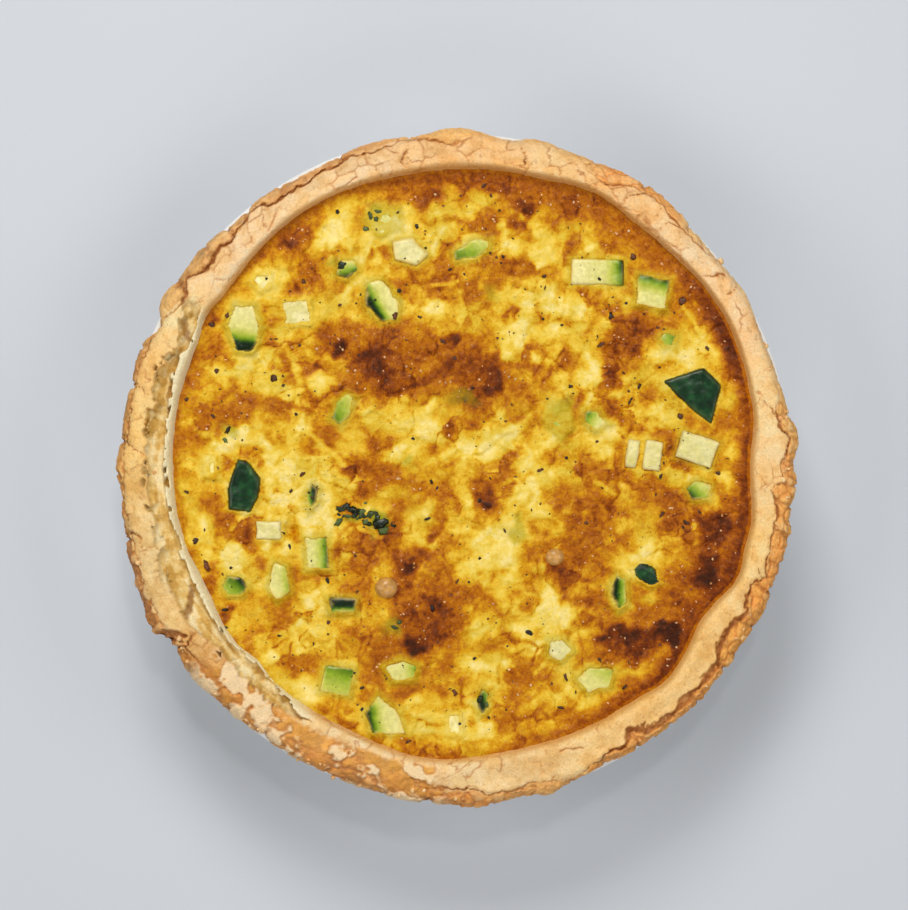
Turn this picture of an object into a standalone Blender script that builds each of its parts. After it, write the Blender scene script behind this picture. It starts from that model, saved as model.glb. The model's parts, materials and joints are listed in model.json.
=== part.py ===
"""Small courgette quiche baked in its own round white dish.

Units are metres, +Z is up, +Y is away from a person who faces the dish.
The dish stands on z = 0 with its middle at the origin.
"""
import math
import random

import bmesh
import bpy
from mathutils import Vector, noise

MM = 0.001

# Dish
DISH_RIM_RADIUS = 75.3 * MM
DISH_FOOT_RADIUS = 65.0 * MM
DISH_HEIGHT = 32.0 * MM
DISH_WALL = 4.0 * MM
DISH_FLOOR = 4.0 * MM
DISH_STEPS = 72

# Pastry case
GAP = 0.3 * MM
PASTRY_FLOOR = 3.2 * MM
SECTORS = 132
OUTER_BASE = 75.1 * MM
INNER_BASE = 65.6 * MM
EDGE_HEIGHT = 34.9 * MM
CREST_HEIGHT = 38.2 * MM
OUTER_EDGE_HEIGHT = 34.6 * MM
GROOVE_START = 147.0
GROOVE_END = 243.0
GROOVE_FLOOR = 34.2 * MM

# Filling
CUSTARD_HEIGHT = 34.4 * MM
CUSTARD_RINGS = 12
CUSTARD_SECTORS = 72
PIECE_DEPTH = 4.6 * MM
COURGETTE_SEED = 3
PEPPER_SEED = 7

# Bumps on the outer edge of the pastry: middle in degrees, half width in degrees, mm outwards
OUTER_BUMPS = [
    (5, 4, 1.6), (20, 9, -0.9), (41, 7, -0.6), (55, 9, 1.0), (75, 4, 0.6),
    (82, 4, -0.8), (90, 5, 0.9), (97, 3, -0.5), (105, 5, 0.4), (118, 8, -1.0),
    (131, 4, -0.9), (140, 6, 0.6), (150, 4, 1.4), (155, 3, -1.0), (161, 5, 1.2),
    (171, 6, 0.9), (180, 5, 1.6), (188, 4, 1.0), (196, 6, 1.7), (203, 5, 1.9),
    (208, 4, 2.3), (218, 5, 1.0), (240, 14, -0.5), (262, 6, 0.3), (273, 8, 1.3),
    (285, 4, 1.1), (297, 5, -0.7), (318, 8, 0.4), (335, 7, 0.7), (346, 7, 1.0),
    (356, 5, 0.9),
]

# Bumps on the inner edge, where the custard meets the pastry
INNER_BUMPS = [
    (0, 12, -1.7), (30, 20, 1.1), (64, 12, 1.2), (120, 24, 1.0), (149, 6, 1.0),
    (205, 12, -1.0), (224, 6, -1.0), (264, 20, 1.5), (314, 7, 1.0), (328, 10, -1.8),
    (339, 6, 0.8),
]

# The long crack that runs round the rim: degrees, radius in mm, depth in mm
RIM_CRACK = [
    (0, 73.0, 0.3), (8, 72.5, 0.6), (20, 72.6, 0.3), (33, 73.4, 0.4), (50, 72.4, 0.6),
    (64, 71.4, 0.6), (78, 72.6, 0.3), (90, 71.8, 0.7), (97, 73.4, 0.6), (112, 72.9, 0.9),
    (128, 72.3, 1.0), (140, 72.1, 1.1), (150, 72.6, 0.9), (165, 73.8, 0.5), (180, 73.2, 0.5),
    (200, 74.0, 0.5), (216, 72.4, 0.7), (228, 72.2, 0.7), (244, 72.4, 0.5), (260, 72.0, 0.9),
    (272, 72.6, 0.7), (285, 73.2, 0.4), (298, 72.4, 0.9), (307, 72.2, 1.5), (320, 73.0, 1.5),
    (328, 71.4, 0.9), (340, 71.6, 0.7), (350, 72.4, 0.6), (360, 73.0, 0.3),
]

# Cracks and notches across the rim: degrees, inner and outer radius in mm, depth in mm
CROSS_CRACKS = [
    (6, 69.9, 74.5, 0.7), (33, 72.3, 73.6, 0.6), (52, 70.0, 74.8, 0.7), (78, 68.3, 74.0, 0.7),
    (100, 67.8, 74.8, 0.7), (155, 70.0, 77.0, 1.0), (163, 71.5, 74.5, 0.8),
    (192, 72.8, 76.0, 0.7), (210.0, 71.0, 78.0, 3.2), (233, 66.5, 73.0, 1.4),
    (303, 69.2, 72.5, 1.0), (334, 69.6, 72.6, 0.7), (352, 70.8, 74.0, 0.6),
]

# Courgette pieces that show in the custard: middle x and y, length, width, turn in degrees,
# number of corners and height above the custard, sizes in mm
COURGETTE = {
    "01": (-10.9, 48.4, 8.8, 6.6, -25, 5, 1.1),
    "02": (-16.7, 55.4, 8.8, 7.4, 15, 5, 0.5),
    "03": (-25.1, 44.2, 6.2, 4.8, 30, 5, 0.5),
    "04": (-17.2, 37.3, 10.8, 7.8, 117, 6, 0.9),
    "05": (-47.9, 31.3, 12.4, 8.2, 95, 6, 0.9),
    "06": (-44.3, 41.9, 6.4, 5.4, 20, 5, 0.6),
    "07": (-36.2, 34.6, 7.0, 6.4, 5, 4, 0.7),
    "08": (-25.8, 13.0, 8.0, 4.4, 62, 6, 0.9),
    "09": (3.2, 48.8, 9.8, 4.2, 20, 6, 0.6),
    "10": (31.3, 43.8, 11.8, 5.8, -2, 4, 0.7),
    "11": (43.6, 39.2, 7.2, 7.4, -8, 4, 0.9),
    "12": (47.2, 28.4, 5.0, 4.4, 0, 5, 0.5),
    "14": (53.6, 3.9, 8.6, 6.2, -19, 4, 1.3),
    "15": (39.2, 3.0, 6.3, 2.6, 82, 4, 0.8),
    "16": (43.7, 2.5, 6.7, 4.0, 82, 4, 1.0),
    "17": (22.6, 11.0, 9.4, 6.0, 95, 5, 0.5),
    "18": (30.6, 10.6, 6.8, 5.0, -35, 5, 0.7),
    "19": (54.2, -5.2, 6.4, 5.0, 0, 5, 0.8),
    "20": (36.1, -27.8, 9.2, 4.6, 85, 5, 1.1),
    "21": (42.4, -24.2, 7.4, 4.8, -40, 6, 1.0),
    "22": (30.8, -47.6, 9.4, 6.2, 10, 5, 0.8),
    "24": (-32.6, -6.6, 6.8, 3.4, 80, 5, 0.7),
    "25": (-42.5, -14.2, 5.6, 4.2, 0, 4, 1.1),
    "26": (-31.6, -19.4, 7.8, 5.6, 92, 4, 0.7),
    "27": (-50.2, -26.6, 6.6, 5.2, -20, 6, 0.8),
    "28": (-40.1, -25.6, 9.0, 6.0, 95, 5, 0.8),
    "29": (-25.9, -31.0, 6.6, 3.6, 2, 4, 0.9),
    "30": (-27.1, -47.8, 7.0, 6.6, -8, 4, 0.8),
    "31": (-12.8, -45.8, 9.0, 6.2, -5, 5, 0.8),
    "33": (5.7, -52.5, 6.2, 3.2, 80, 5, 0.6),
    "34": (-0.9, -57.8, 5.4, 3.8, 92, 4, 0.6),
    "35": (-55.3, -0.1, 5.0, 3.6, 88, 4, 0.6),
    "36": (22.7, -40.9, 7.2, 5.6, -35, 5, 0.6),
}

# The three pieces with outlines of their own: corners and height above the custard in mm
SHAPED = {
    "13": ([(46.1, 19.3), (55.1, 22.2), (59.1, 18.1), (56.9, 9.6), (51.5, 13.6)], 1.2),
    "23": ([(-49.5, 1.8), (-47.0, 1.3), (-44.3, -2.5), (-44.6, -6.5), (-46.6, -10.3),
            (-51.5, -9.4), (-51.7, -5.1)], 1.4),
    "32": ([(-17.9, -50.7), (-13.7, -54.4), (-11.2, -60.0), (-19.5, -60.0), (-21.0, -55.3)], 0.9),
}

# Pieces whose dark green skin shows, and pieces that show green flesh just under the skin
SKIN_PIECES = ["03", "13", "21", "23", "24", "29", "33"]
GREEN_PIECES = ["02", "08", "09", "12", "18", "20", "27", "30"]

# Coarse pepper on the custard: x, y and size in mm
PEPPER = [
    (-51.7, 34.0, 1.3), (-55.3, 32.0, 1.6), (-34.7, 41.6, 1.3), (-40.7, 28.7, 1.1), (-54.2, 21.5, 1.3),
    (-41.2, 19.9, 1.8), (-54.9, 11.4, 1.3), (-51.7, 8.3, 2.2), (-34.9, -1.6, 1.6), (-37.6, -5.4, 1.1),
    (-60.9, -5.6, 1.3), (-56.4, -22.2, 2.7), (-37.8, -17.9, 1.3), (-58.9, -16.6, 1.6), (-13.2, 39.6, 1.3),
    (-9.2, 54.0, 1.1), (-1.8, 44.3, 1.1), (5.8, 63.1, 1.6), (7.4, 60.9, 1.1), (-14.1, 33.8, 1.8),
    (-8.5, 33.6, 1.3), (-3.4, 28.2, 1.6), (-0.7, 24.4, 1.3), (19.5, 42.8, 1.3), (19.5, 40.3, 1.1),
    (15.2, 39.9, 1.3), (39.4, 47.2, 1.6), (50.4, 37.2, 2.0), (34.3, 33.8, 1.8), (32.2, 27.5, 2.2),
    (56.0, 26.6, 1.3), (25.3, 18.1, 1.3), (40.7, 18.1, 1.6), (38.5, 14.6, 1.3), (49.9, 11.4, 1.8),
    (45.5, -2.0, 1.8), (45.7, -10.7, 1.8), (51.3, -12.5, 1.6), (28.7, -12.5, 1.3), (12.8, -2.2, 1.1),
    (18.4, -0.7, 1.8), (-6.0, -3.4, 1.3), (4.9, -7.6, 1.3), (-6.9, -11.6, 1.6), (10.5, -14.1, 1.3),
    (-0.2, -25.7, 1.3), (-5.8, -31.6, 1.6), (15.9, -37.2, 1.6), (-0.7, -50.6, 1.8), (-11.2, -61.6, 1.6),
    (24.2, -47.2, 2.2), (23.1, -54.0, 1.6), (37.4, -49.3, 1.6), (-29.3, -25.5, 1.6), (-21.5, -49.5, 1.3),
    (-52.4, -32.0, 1.8),
]

# Puffed and sunken places of the custard: x, y, radius and rise in mm
SWELLS = [
    (-6, 23, 17, 0.7), (38, 28, 9, 0.5), (25, -8, 10, 0.5), (52, -20, 11, 0.6), (42, -39, 11, 0.6),
    (-7, -34, 10, 0.6), (-38, 50, 8, 0.5), (-58, 8, 8, 0.4), (11, 58, 9, 0.5), (-45, 10, 9, 0.4),
    (3, 3, 11, -0.5), (-25, -16, 9, -0.4), (14, 30, 9, -0.4), (-36, -38, 10, -0.4), (15, -50, 9, -0.4),
]
PIT = (-37.3, -14.2, 1.6, 1.8)


def material(name, colour, roughness):
    """A plain material with the part's own colour and roughness."""
    made = bpy.data.materials.new(name)
    made.use_nodes = True
    shader = made.node_tree.nodes["Principled BSDF"]
    shader.inputs["Base Color"].default_value = (*colour, 1.0)
    shader.inputs["Roughness"].default_value = roughness
    shader.inputs["Metallic"].default_value = 0.0
    made.diffuse_color = (*colour, 1.0)
    return made


def turn(degrees):
    """How far an angle lies from another one, the short way round."""
    return (degrees + 180.0) % 360.0 - 180.0


def bump(degrees, middle, half_width):
    """A smooth hill that is 1 in its middle and 0 outside its half width."""
    away = abs(turn(degrees - middle)) / half_width
    return 0.5 + 0.5 * math.cos(math.pi * away) if away < 1.0 else 0.0


def smooth(value, low, high):
    """Rises smoothly from 0 to 1 while the value goes from low to high."""
    part = min(1.0, max(0.0, (value - low) / (high - low)))
    return part * part * (3.0 - 2.0 * part)


def outer_radius(degrees):
    """Outer edge of the pastry."""
    return OUTER_BASE + MM * sum(rise * bump(degrees, at, half * 1.3) for at, half, rise in OUTER_BUMPS)


def inner_radius(degrees):
    """Where the custard meets the pastry."""
    angle = math.radians(degrees)
    lean = 1.6 * math.cos(angle) + 1.3 * math.sin(angle)
    bumps = sum(rise * bump(degrees, at, half) for at, half, rise in INNER_BUMPS)
    return INNER_BASE + MM * (lean + bumps)


def rim_crack(degrees):
    """Radius and depth of the long crack at an angle."""
    for (a0, r0, d0), (a1, r1, d1) in zip(RIM_CRACK, RIM_CRACK[1:]):
        if a0 <= degrees % 360.0 <= a1:
            part = (degrees % 360.0 - a0) / (a1 - a0)
            return MM * (r0 + (r1 - r0) * part), MM * (d0 + (d1 - d0) * part)
    return MM * RIM_CRACK[0][1], MM * RIM_CRACK[0][2]


def groove_depth(degrees):
    """1 where the flaky split between lip and roll is open, 0 where it is closed."""
    return smooth(degrees, GROOVE_START, GROOVE_START + 6.0) * (1.0 - smooth(degrees, GROOVE_END - 14.0, GROOVE_END))


def rim_height(degrees, radius):
    """Height of the smooth rim, before cracks."""
    inner, outer = inner_radius(degrees), outer_radius(degrees)
    part = min(1.0, max(0.0, (radius - inner) / (outer - inner)))
    wave = 0.25 * MM * noise.noise(Vector((math.cos(math.radians(degrees)) * 4.0,
                                           math.sin(math.radians(degrees)) * 4.0, part)))
    crest = CREST_HEIGHT + wave
    if part < 0.5:
        return EDGE_HEIGHT + (crest - EDGE_HEIGHT) * (1.0 - (1.0 - part / 0.5) ** 2)
    return crest - (crest - OUTER_EDGE_HEIGHT) * ((part - 0.5) / 0.5) ** 2.2


def cross_depth(degrees, radius):
    """Depth of the cracks that cross the rim."""
    depth = 0.0
    for at, low, high, deep in CROSS_CRACKS:
        if low * MM <= radius <= high * MM:
            depth = max(depth, MM * deep * bump(degrees, at, 2.6))
    return depth


def rim_section(degrees):
    """Points of the rim seen from above, from the custard outwards, as radius and height."""
    inner, outer = inner_radius(degrees), outer_radius(degrees)
    crack_radius, crack_depth = rim_crack(degrees)
    crack_radius = min(crack_radius, outer - 1.6 * MM)
    opened = groove_depth(degrees)
    lip = inner + (1.7 + 1.0 * bump(degrees, 160, 14)) * MM
    roll = inner + (4.9 + 1.2 * opened * bump(degrees, 190, 50)) * MM
    radii = [
        inner,
        inner + 0.9 * MM,
        lip,
        lip + 0.5 * MM,
        0.5 * (lip + roll),
        roll - 0.5 * MM,
        roll,
        0.5 * (roll + crack_radius - 0.6 * MM),
        crack_radius - 0.6 * MM,
        crack_radius,
        crack_radius + 0.6 * MM,
        0.5 * (crack_radius + 0.6 * MM + outer),
        outer - 0.35 * MM,
    ]
    points = []
    for place, radius in enumerate(radii):
        height = rim_height(degrees, radius)
        if place in (3, 4, 5):
            height += (GROOVE_FLOOR - height) * opened
        if place == 9:
            height -= crack_depth
        height = max(height - cross_depth(degrees, radius), DISH_HEIGHT + 0.9 * MM)
        points.append((radius, height))
    return points


def custard_height(x, y):
    """Height of the custard at a place, all in metres."""
    degrees = math.degrees(math.atan2(y, x))
    edge = inner_radius(degrees) - math.hypot(x, y)
    height = CUSTARD_HEIGHT
    for at_x, at_y, radius, rise in SWELLS:
        away = math.hypot(x / MM - at_x, y / MM - at_y) / radius
        height += MM * rise * math.exp(-away * away)
    height += 0.25 * MM * noise.noise(Vector((x, y, 0.0)) * 160.0)
    pit_away = math.hypot(x / MM - PIT[0], y / MM - PIT[1]) / PIT[2]
    height -= MM * PIT[3] * math.exp(-pit_away * pit_away)
    return height + 0.3 * MM * (1.0 - smooth(edge, 0.0, 4.0 * MM))


def link(made, collection, shader):
    """Puts an object in a collection and gives it its material."""
    for held in list(made.users_collection):
        held.objects.unlink(made)
    collection.objects.link(made)
    made.data.materials.clear()
    made.data.materials.append(shader)
    return made


def from_bmesh(name, shape, collection, shader):
    """Makes an object of a closed bmesh, with faces outward."""
    bmesh.ops.recalc_face_normals(shape, faces=shape.faces)
    mesh = bpy.data.meshes.new(name)
    shape.to_mesh(mesh)
    shape.free()
    made = bpy.data.objects.new(name, mesh)
    collection.objects.link(made)
    made.data.materials.append(shader)
    return made


def turned(name, profile, steps, collection, shader):
    """A shape of revolution: its profile stands at +X and runs down the outer side."""
    mesh = bpy.data.meshes.new(name)
    mesh.from_pydata([(radius, 0.0, height) for radius, height in profile],
                     [(i, i + 1) for i in range(len(profile) - 1)], [])
    made = bpy.data.objects.new(name, mesh)
    collection.objects.link(made)
    screw = made.modifiers.new("turn", "SCREW")
    screw.axis = "Z"
    screw.angle = math.tau
    screw.steps = steps
    screw.render_steps = steps
    screw.use_merge_vertices = True
    screw.merge_threshold = 0.00001
    screw.use_smooth_shade = True
    made.data.materials.append(shader)
    return made


def rings_to_solid(shape, rings, cap_first, cap_last):
    """Joins rings of points, each given as a list of places, with faces; caps close the ends."""
    made = [[shape.verts.new(place) for place in ring] for ring in rings]
    count = len(made[0])
    for ring, following in zip(made, made[1:]):
        for i in range(count):
            j = (i + 1) % count
            shape.faces.new((ring[i], ring[j], following[j], following[i]))
    for ring, centre in ((made[0], cap_first), (made[-1], cap_last)):
        middle = shape.verts.new(centre)
        for i in range(count):
            shape.faces.new((ring[i], ring[(i + 1) % count], middle))


def around(count, radius_at, height_at):
    """One ring of places round the Z axis."""
    places = []
    for i in range(count):
        degrees = 360.0 * i / count
        angle = math.radians(degrees)
        radius = radius_at(degrees)
        places.append((radius * math.cos(angle), radius * math.sin(angle), height_at(degrees, radius)))
    return places


def outline(number, chance):
    """Corners of a courgette piece: a rectangle, or a many-sided slice that is a little uneven."""
    if number in SHAPED:
        return list(SHAPED[number][0])
    middle_x, middle_y, length, width, turned_by, count, _ = COURGETTE[number]
    if count == 4:
        flat = [(0.5, 0.5), (-0.5, 0.5), (-0.5, -0.5), (0.5, -0.5)]
    else:
        angles = [math.tau * (i + 0.35 + chance.uniform(-0.12, 0.12)) / count for i in range(count)]
        flat = [(0.52 * math.cos(angle), 0.52 * math.sin(angle)) for angle in angles]
    angle = math.radians(turned_by)
    return [(middle_x + x * length * math.cos(angle) - y * width * math.sin(angle),
             middle_y + x * length * math.sin(angle) + y * width * math.cos(angle)) for x, y in flat]


def offset(corners, distance):
    """Corners of a convex outline, moved outwards by a distance."""
    area = sum(a[0] * b[1] - b[0] * a[1] for a, b in zip(corners, corners[1:] + corners[:1]))
    ordered = corners if area > 0.0 else corners[::-1]
    moved = []
    for i, here in enumerate(ordered):
        before, after = Vector(ordered[i - 1]), Vector(ordered[(i + 1) % len(ordered)])
        first = (Vector(here) - before).normalized()
        second = (after - Vector(here)).normalized()
        out_first, out_second = Vector((first.y, -first.x)), Vector((second.y, -second.x))
        middle = (out_first + out_second).normalized()
        step = distance / max(0.5, middle.dot(out_first))
        moved.append((here[0] + middle.x * step, here[1] + middle.y * step))
    return moved


def inside_distance(x, y, corners):
    """How far a place lies outside a convex outline; negative inside it."""
    ordered = offset(corners, 0.0)
    furthest = -1e9
    for a, b in zip(ordered, ordered[1:] + ordered[:1]):
        along = (Vector(b) - Vector(a)).normalized()
        furthest = max(furthest, (x - a[0]) * along.y - (y - a[1]) * along.x)
    return furthest


def prism(shape, corners, bottom, top_at):
    """A block pulled up from its outline to a top that may slope."""
    outline = [shape.verts.new((x * MM, y * MM, bottom)) for x, y in corners]
    base = shape.faces.new(outline[::-1])
    pulled = bmesh.ops.extrude_face_region(shape, geom=[base])
    raised = [item for item in pulled["geom"] if isinstance(item, bmesh.types.BMVert)]
    for corner in raised:
        corner.co.z = top_at(corner.co.x / MM, corner.co.y / MM)
    return [item for item in pulled["geom"] if isinstance(item, bmesh.types.BMFace)][0]


# Empty scene
for left_over in list(bpy.data.objects):
    bpy.data.objects.remove(left_over, do_unlink=True)

quiche = bpy.data.collections.new("quiche")
bpy.context.scene.collection.children.link(quiche)
cutters = bpy.data.collections.new("cutters")
bpy.context.scene.collection.children.link(cutters)
grains = bpy.data.collections.new("grains")
bpy.context.scene.collection.children.link(grains)

white_glaze = material("white_glaze", (0.86, 0.86, 0.84), 0.12)
baked_pastry = material("baked_pastry", (0.78, 0.50, 0.22), 0.62)
baked_custard = material("baked_custard", (0.83, 0.55, 0.10), 0.35)
courgette_flesh = material("courgette_flesh", (0.80, 0.74, 0.28), 0.40)
courgette_green = material("courgette_green", (0.30, 0.42, 0.04), 0.38)
courgette_skin = material("courgette_skin", (0.01, 0.05, 0.01), 0.30)

# Dish
inner_foot = DISH_FOOT_RADIUS - DISH_WALL
inner_rim = DISH_RIM_RADIUS - DISH_WALL
dish_profile = [
    (0.0, DISH_FLOOR),
    (inner_foot - 2.0 * MM, DISH_FLOOR),
    (inner_foot - 0.5 * MM, DISH_FLOOR + 0.6 * MM),
    (inner_foot + 0.3 * MM, DISH_FLOOR + 2.0 * MM),
    (inner_rim - 0.1 * MM, DISH_HEIGHT - 1.2 * MM),
    (inner_rim + 0.3 * MM, DISH_HEIGHT - 0.3 * MM),
    (inner_rim + 1.2 * MM, DISH_HEIGHT),
    (DISH_RIM_RADIUS - 1.3 * MM, DISH_HEIGHT),
    (DISH_RIM_RADIUS - 0.4 * MM, DISH_HEIGHT - 0.35 * MM),
    (DISH_RIM_RADIUS, DISH_HEIGHT - 1.2 * MM),
    (DISH_RIM_RADIUS - 0.3 * MM, DISH_HEIGHT - 2.6 * MM),
    (DISH_FOOT_RADIUS + 1.1 * MM, 3.0 * MM),
    (DISH_FOOT_RADIUS + 0.3 * MM, 1.0 * MM),
    (DISH_FOOT_RADIUS - 0.8 * MM, 0.0),
    (0.0, 0.0),
]
dish = turned("dish", dish_profile, DISH_STEPS, quiche, white_glaze)


def dish_inside(height):
    """Inner radius of the dish at a height above its rounded floor edge."""
    low, high = DISH_FLOOR + 2.0 * MM, DISH_HEIGHT - 1.2 * MM
    part = min(1.0, max(0.0, (height - low) / (high - low)))
    return inner_foot + 0.3 * MM + (inner_rim - 0.4 * MM - inner_foot) * part


# Pastry case: the sections run from the middle of its inside floor over the rim to its underside
FLOOR_TOP = DISH_FLOOR + GAP + PASTRY_FLOOR
FLOOR_EDGE = inner_foot - 3.6 * MM
# Facets of unlike rings need a little more than the gap itself
FACET = 0.15 * MM


def pastry_inside(degrees, height):
    """Inner side of the pastry wall, between its floor and its top edge."""
    part = min(1.0, max(0.0, (height - FLOOR_TOP) / (EDGE_HEIGHT - FLOOR_TOP)))
    lean = FLOOR_EDGE + (inner_rim - 3.6 * MM - FLOOR_EDGE) * part
    return lean + (inner_radius(degrees) - (inner_rim - 3.6 * MM)) * smooth(part, 0.3, 1.0)


sections = [rim_section(360.0 * i / SECTORS) for i in range(SECTORS)]
rings = [
    around(SECTORS, lambda d: pastry_inside(d, FLOOR_TOP), lambda d, r: FLOOR_TOP),
    around(SECTORS, lambda d: pastry_inside(d, 22.0 * MM), lambda d, r: 22.0 * MM),
    around(SECTORS, lambda d: pastry_inside(d, 31.0 * MM), lambda d, r: 31.0 * MM),
]
for place in range(len(sections[0])):
    ring = []
    for i, section in enumerate(sections):
        angle = math.tau * i / SECTORS
        radius, height = section[place]
        ring.append((radius * math.cos(angle), radius * math.sin(angle), height))
    rings.append(ring)
rings.append(around(SECTORS, outer_radius, lambda d, r: sections[round(d * SECTORS / 360.0)][-1][1] - 0.8 * MM))
rings.append(around(SECTORS, lambda d: outer_radius(d) - 1.2 * MM, lambda d, r: DISH_HEIGHT + GAP))
rings.append(around(SECTORS, lambda d: inner_rim + 0.6 * MM, lambda d, r: DISH_HEIGHT + GAP))
rings.append(around(SECTORS, lambda d: inner_rim - GAP - 3 * FACET, lambda d, r: DISH_HEIGHT - 0.9 * MM))
low_wall = DISH_FLOOR + 2.4 * MM
rings.append(around(SECTORS, lambda d: dish_inside(low_wall) - GAP - 2 * FACET, lambda d, r: low_wall))
rings.append(around(SECTORS, lambda d: inner_foot - 2.4 * MM, lambda d, r: DISH_FLOOR + GAP))
shell = bmesh.new()
rings_to_solid(shell, rings, (0.0, 0.0, FLOOR_TOP), (0.0, 0.0, DISH_FLOOR + GAP))
pastry_case = from_bmesh("pastry_case", shell, quiche, baked_pastry)

# Custard, from the middle of its top to the middle of its underside
body = bmesh.new()
rings = []
for i in range(1, CUSTARD_RINGS + 1):
    part = i / CUSTARD_RINGS
    places = around(CUSTARD_SECTORS, lambda d: part * (inner_radius(d) - GAP - 0.05 * MM), lambda d, r: 0.0)
    rings.append([(x, y, custard_height(x, y)) for x, y, _ in places])
side = GAP + 0.12 * MM
rings.append(around(CUSTARD_SECTORS, lambda d: pastry_inside(d, 31.0 * MM) - side, lambda d, r: 31.0 * MM))
rings.append(around(CUSTARD_SECTORS, lambda d: pastry_inside(d, 22.0 * MM) - side, lambda d, r: 22.0 * MM))
bottom = FLOOR_TOP + GAP
rings.append(around(CUSTARD_SECTORS, lambda d: pastry_inside(d, bottom) - side, lambda d, r: bottom))
rings_to_solid(body, rings, (0.0, 0.0, custard_height(0.0, 0.0)), (0.0, 0.0, bottom))
custard = from_bmesh("custard", body, quiche, baked_custard)

# Courgette pieces and the pockets they sit in
chance = random.Random(COURGETTE_SEED)
outlines = {}
for number in sorted(list(COURGETTE) + list(SHAPED)):
    corners = offset(outline(number, chance), 0.0)
    outlines[number] = corners
    rise = SHAPED[number][1] if number in SHAPED else COURGETTE[number][6]
    centre_x = sum(x for x, y in corners) / len(corners)
    centre_y = sum(y for x, y in corners) / len(corners)
    level = custard_height(centre_x * MM, centre_y * MM)
    slope_x, slope_y = chance.uniform(-0.05, 0.05), chance.uniform(-0.05, 0.05)
    low = level - PIECE_DEPTH

    def piece_top(x, y):
        return level + MM * (rise + slope_x * (x - centre_x) + slope_y * (y - centre_y))

    block = bmesh.new()
    top = prism(block, corners, low, piece_top)
    block.normal_update()
    bmesh.ops.bevel(block, geom=list(top.edges), offset=0.45 * MM, segments=1, affect="EDGES")
    if number in SKIN_PIECES:
        shader = courgette_skin
    elif number in GREEN_PIECES:
        shader = courgette_green
    else:
        shader = courgette_flesh
    from_bmesh("courgette_" + number, block, quiche, shader)

    pocket = bmesh.new()
    prism(pocket, offset(corners, 0.32), low - 0.32 * MM, lambda x, y: 45.0 * MM)
    cutter = from_bmesh("pocket_" + number, pocket, cutters, courgette_flesh)
    cutter.hide_render = True
    cutter.display_type = "WIRE"

bpy.context.view_layer.update()
bpy.context.view_layer.objects.active = custard
pockets = custard.modifiers.new("pockets", "BOOLEAN")
pockets.operation = "DIFFERENCE"
pockets.operand_type = "COLLECTION"
pockets.collection = cutters
pockets.solver = "EXACT"
bpy.ops.object.modifier_apply(modifier=pockets.name)
for cutter in list(cutters.objects):
    bpy.data.objects.remove(cutter, do_unlink=True)

# Pepper grains, fused to the custard where they are clear of the courgette
chance = random.Random(PEPPER_SEED)
for number, (x, y, size) in enumerate(sorted(PEPPER, key=lambda grain: -grain[2])):
    reach = 0.5 * size + 0.75
    clear = all(inside_distance(x, y, corners) > reach for corners in outlines.values())
    wide, slim = 0.5 * size * MM, 0.5 * size * MM * chance.uniform(0.7, 0.95)
    turned_by = chance.uniform(0.0, math.pi)
    if not clear:
        continue
    bpy.ops.mesh.primitive_ico_sphere_add(subdivisions=1, radius=1.0)
    grain = bpy.context.active_object
    grain.name = "grain_" + str(number)
    grain.scale = (wide, slim, slim)
    grain.rotation_euler = (0.3, 0.2, turned_by)
    grain.location = (x * MM, y * MM, custard_height(x * MM, y * MM) + 0.25 * slim)
    link(grain, grains, baked_custard)

bpy.context.view_layer.update()
bpy.context.view_layer.objects.active = custard
fuse = custard.modifiers.new("pepper", "BOOLEAN")
fuse.operation = "UNION"
fuse.operand_type = "COLLECTION"
fuse.collection = grains
fuse.solver = "EXACT"
bpy.ops.object.modifier_apply(modifier=fuse.name)
for grain in list(grains.objects):
    bpy.data.objects.remove(grain, do_unlink=True)
for emptied in (cutters, grains):
    bpy.data.collections.remove(emptied)

# Round pieces are shaded smooth
for made in (pastry_case, custard):
    for face in made.data.polygons:
        face.use_smooth = True

for made in quiche.objects:
    print(made.name, len(made.data.polygons))
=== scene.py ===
import itertools
import json
import math

import bpy
import numpy as np
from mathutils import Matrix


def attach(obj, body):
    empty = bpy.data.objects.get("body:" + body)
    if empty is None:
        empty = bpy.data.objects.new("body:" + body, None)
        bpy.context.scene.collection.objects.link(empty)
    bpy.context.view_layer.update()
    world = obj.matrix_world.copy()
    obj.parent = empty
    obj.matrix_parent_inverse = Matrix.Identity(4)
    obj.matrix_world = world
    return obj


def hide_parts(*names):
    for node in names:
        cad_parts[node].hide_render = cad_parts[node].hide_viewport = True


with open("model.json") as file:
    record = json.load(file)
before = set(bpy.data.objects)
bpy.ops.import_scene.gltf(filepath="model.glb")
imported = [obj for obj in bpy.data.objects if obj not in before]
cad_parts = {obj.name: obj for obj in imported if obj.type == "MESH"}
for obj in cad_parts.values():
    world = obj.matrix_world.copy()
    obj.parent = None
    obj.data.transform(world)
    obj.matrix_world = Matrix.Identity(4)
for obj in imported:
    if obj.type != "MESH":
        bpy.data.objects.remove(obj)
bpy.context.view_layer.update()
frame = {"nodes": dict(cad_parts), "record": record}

# %% [markdown]
# ## Small tools
# Relief on food is far too irregular to pull by hand, point by point. So a primitive is added and
# shaped with operators, and its points are then moved by arrays of numbers. All lengths in the
# arrays are millimetres, and they turn to metres only when they go back into the mesh.
# %% Tools for meshes
MM = 0.001


def let_go():
    """Nothing stays selected, so that the next operator acts on its own piece only."""
    bpy.ops.object.select_all(action="DESELECT")


def take_up(piece):
    """Selects a piece, as one more, and makes it the one that operators act on."""
    piece.select_set(True)
    bpy.context.view_layer.objects.active = piece


def close_up(gap):
    """Joins the edited mesh's points that lie within a gap in metres, and faces it outward."""
    bpy.ops.mesh.select_all(action="SELECT")
    bpy.ops.mesh.remove_doubles(threshold=gap)
    bpy.ops.mesh.normals_make_consistent(inside=False)
    bpy.ops.object.mode_set(mode="OBJECT")


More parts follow.
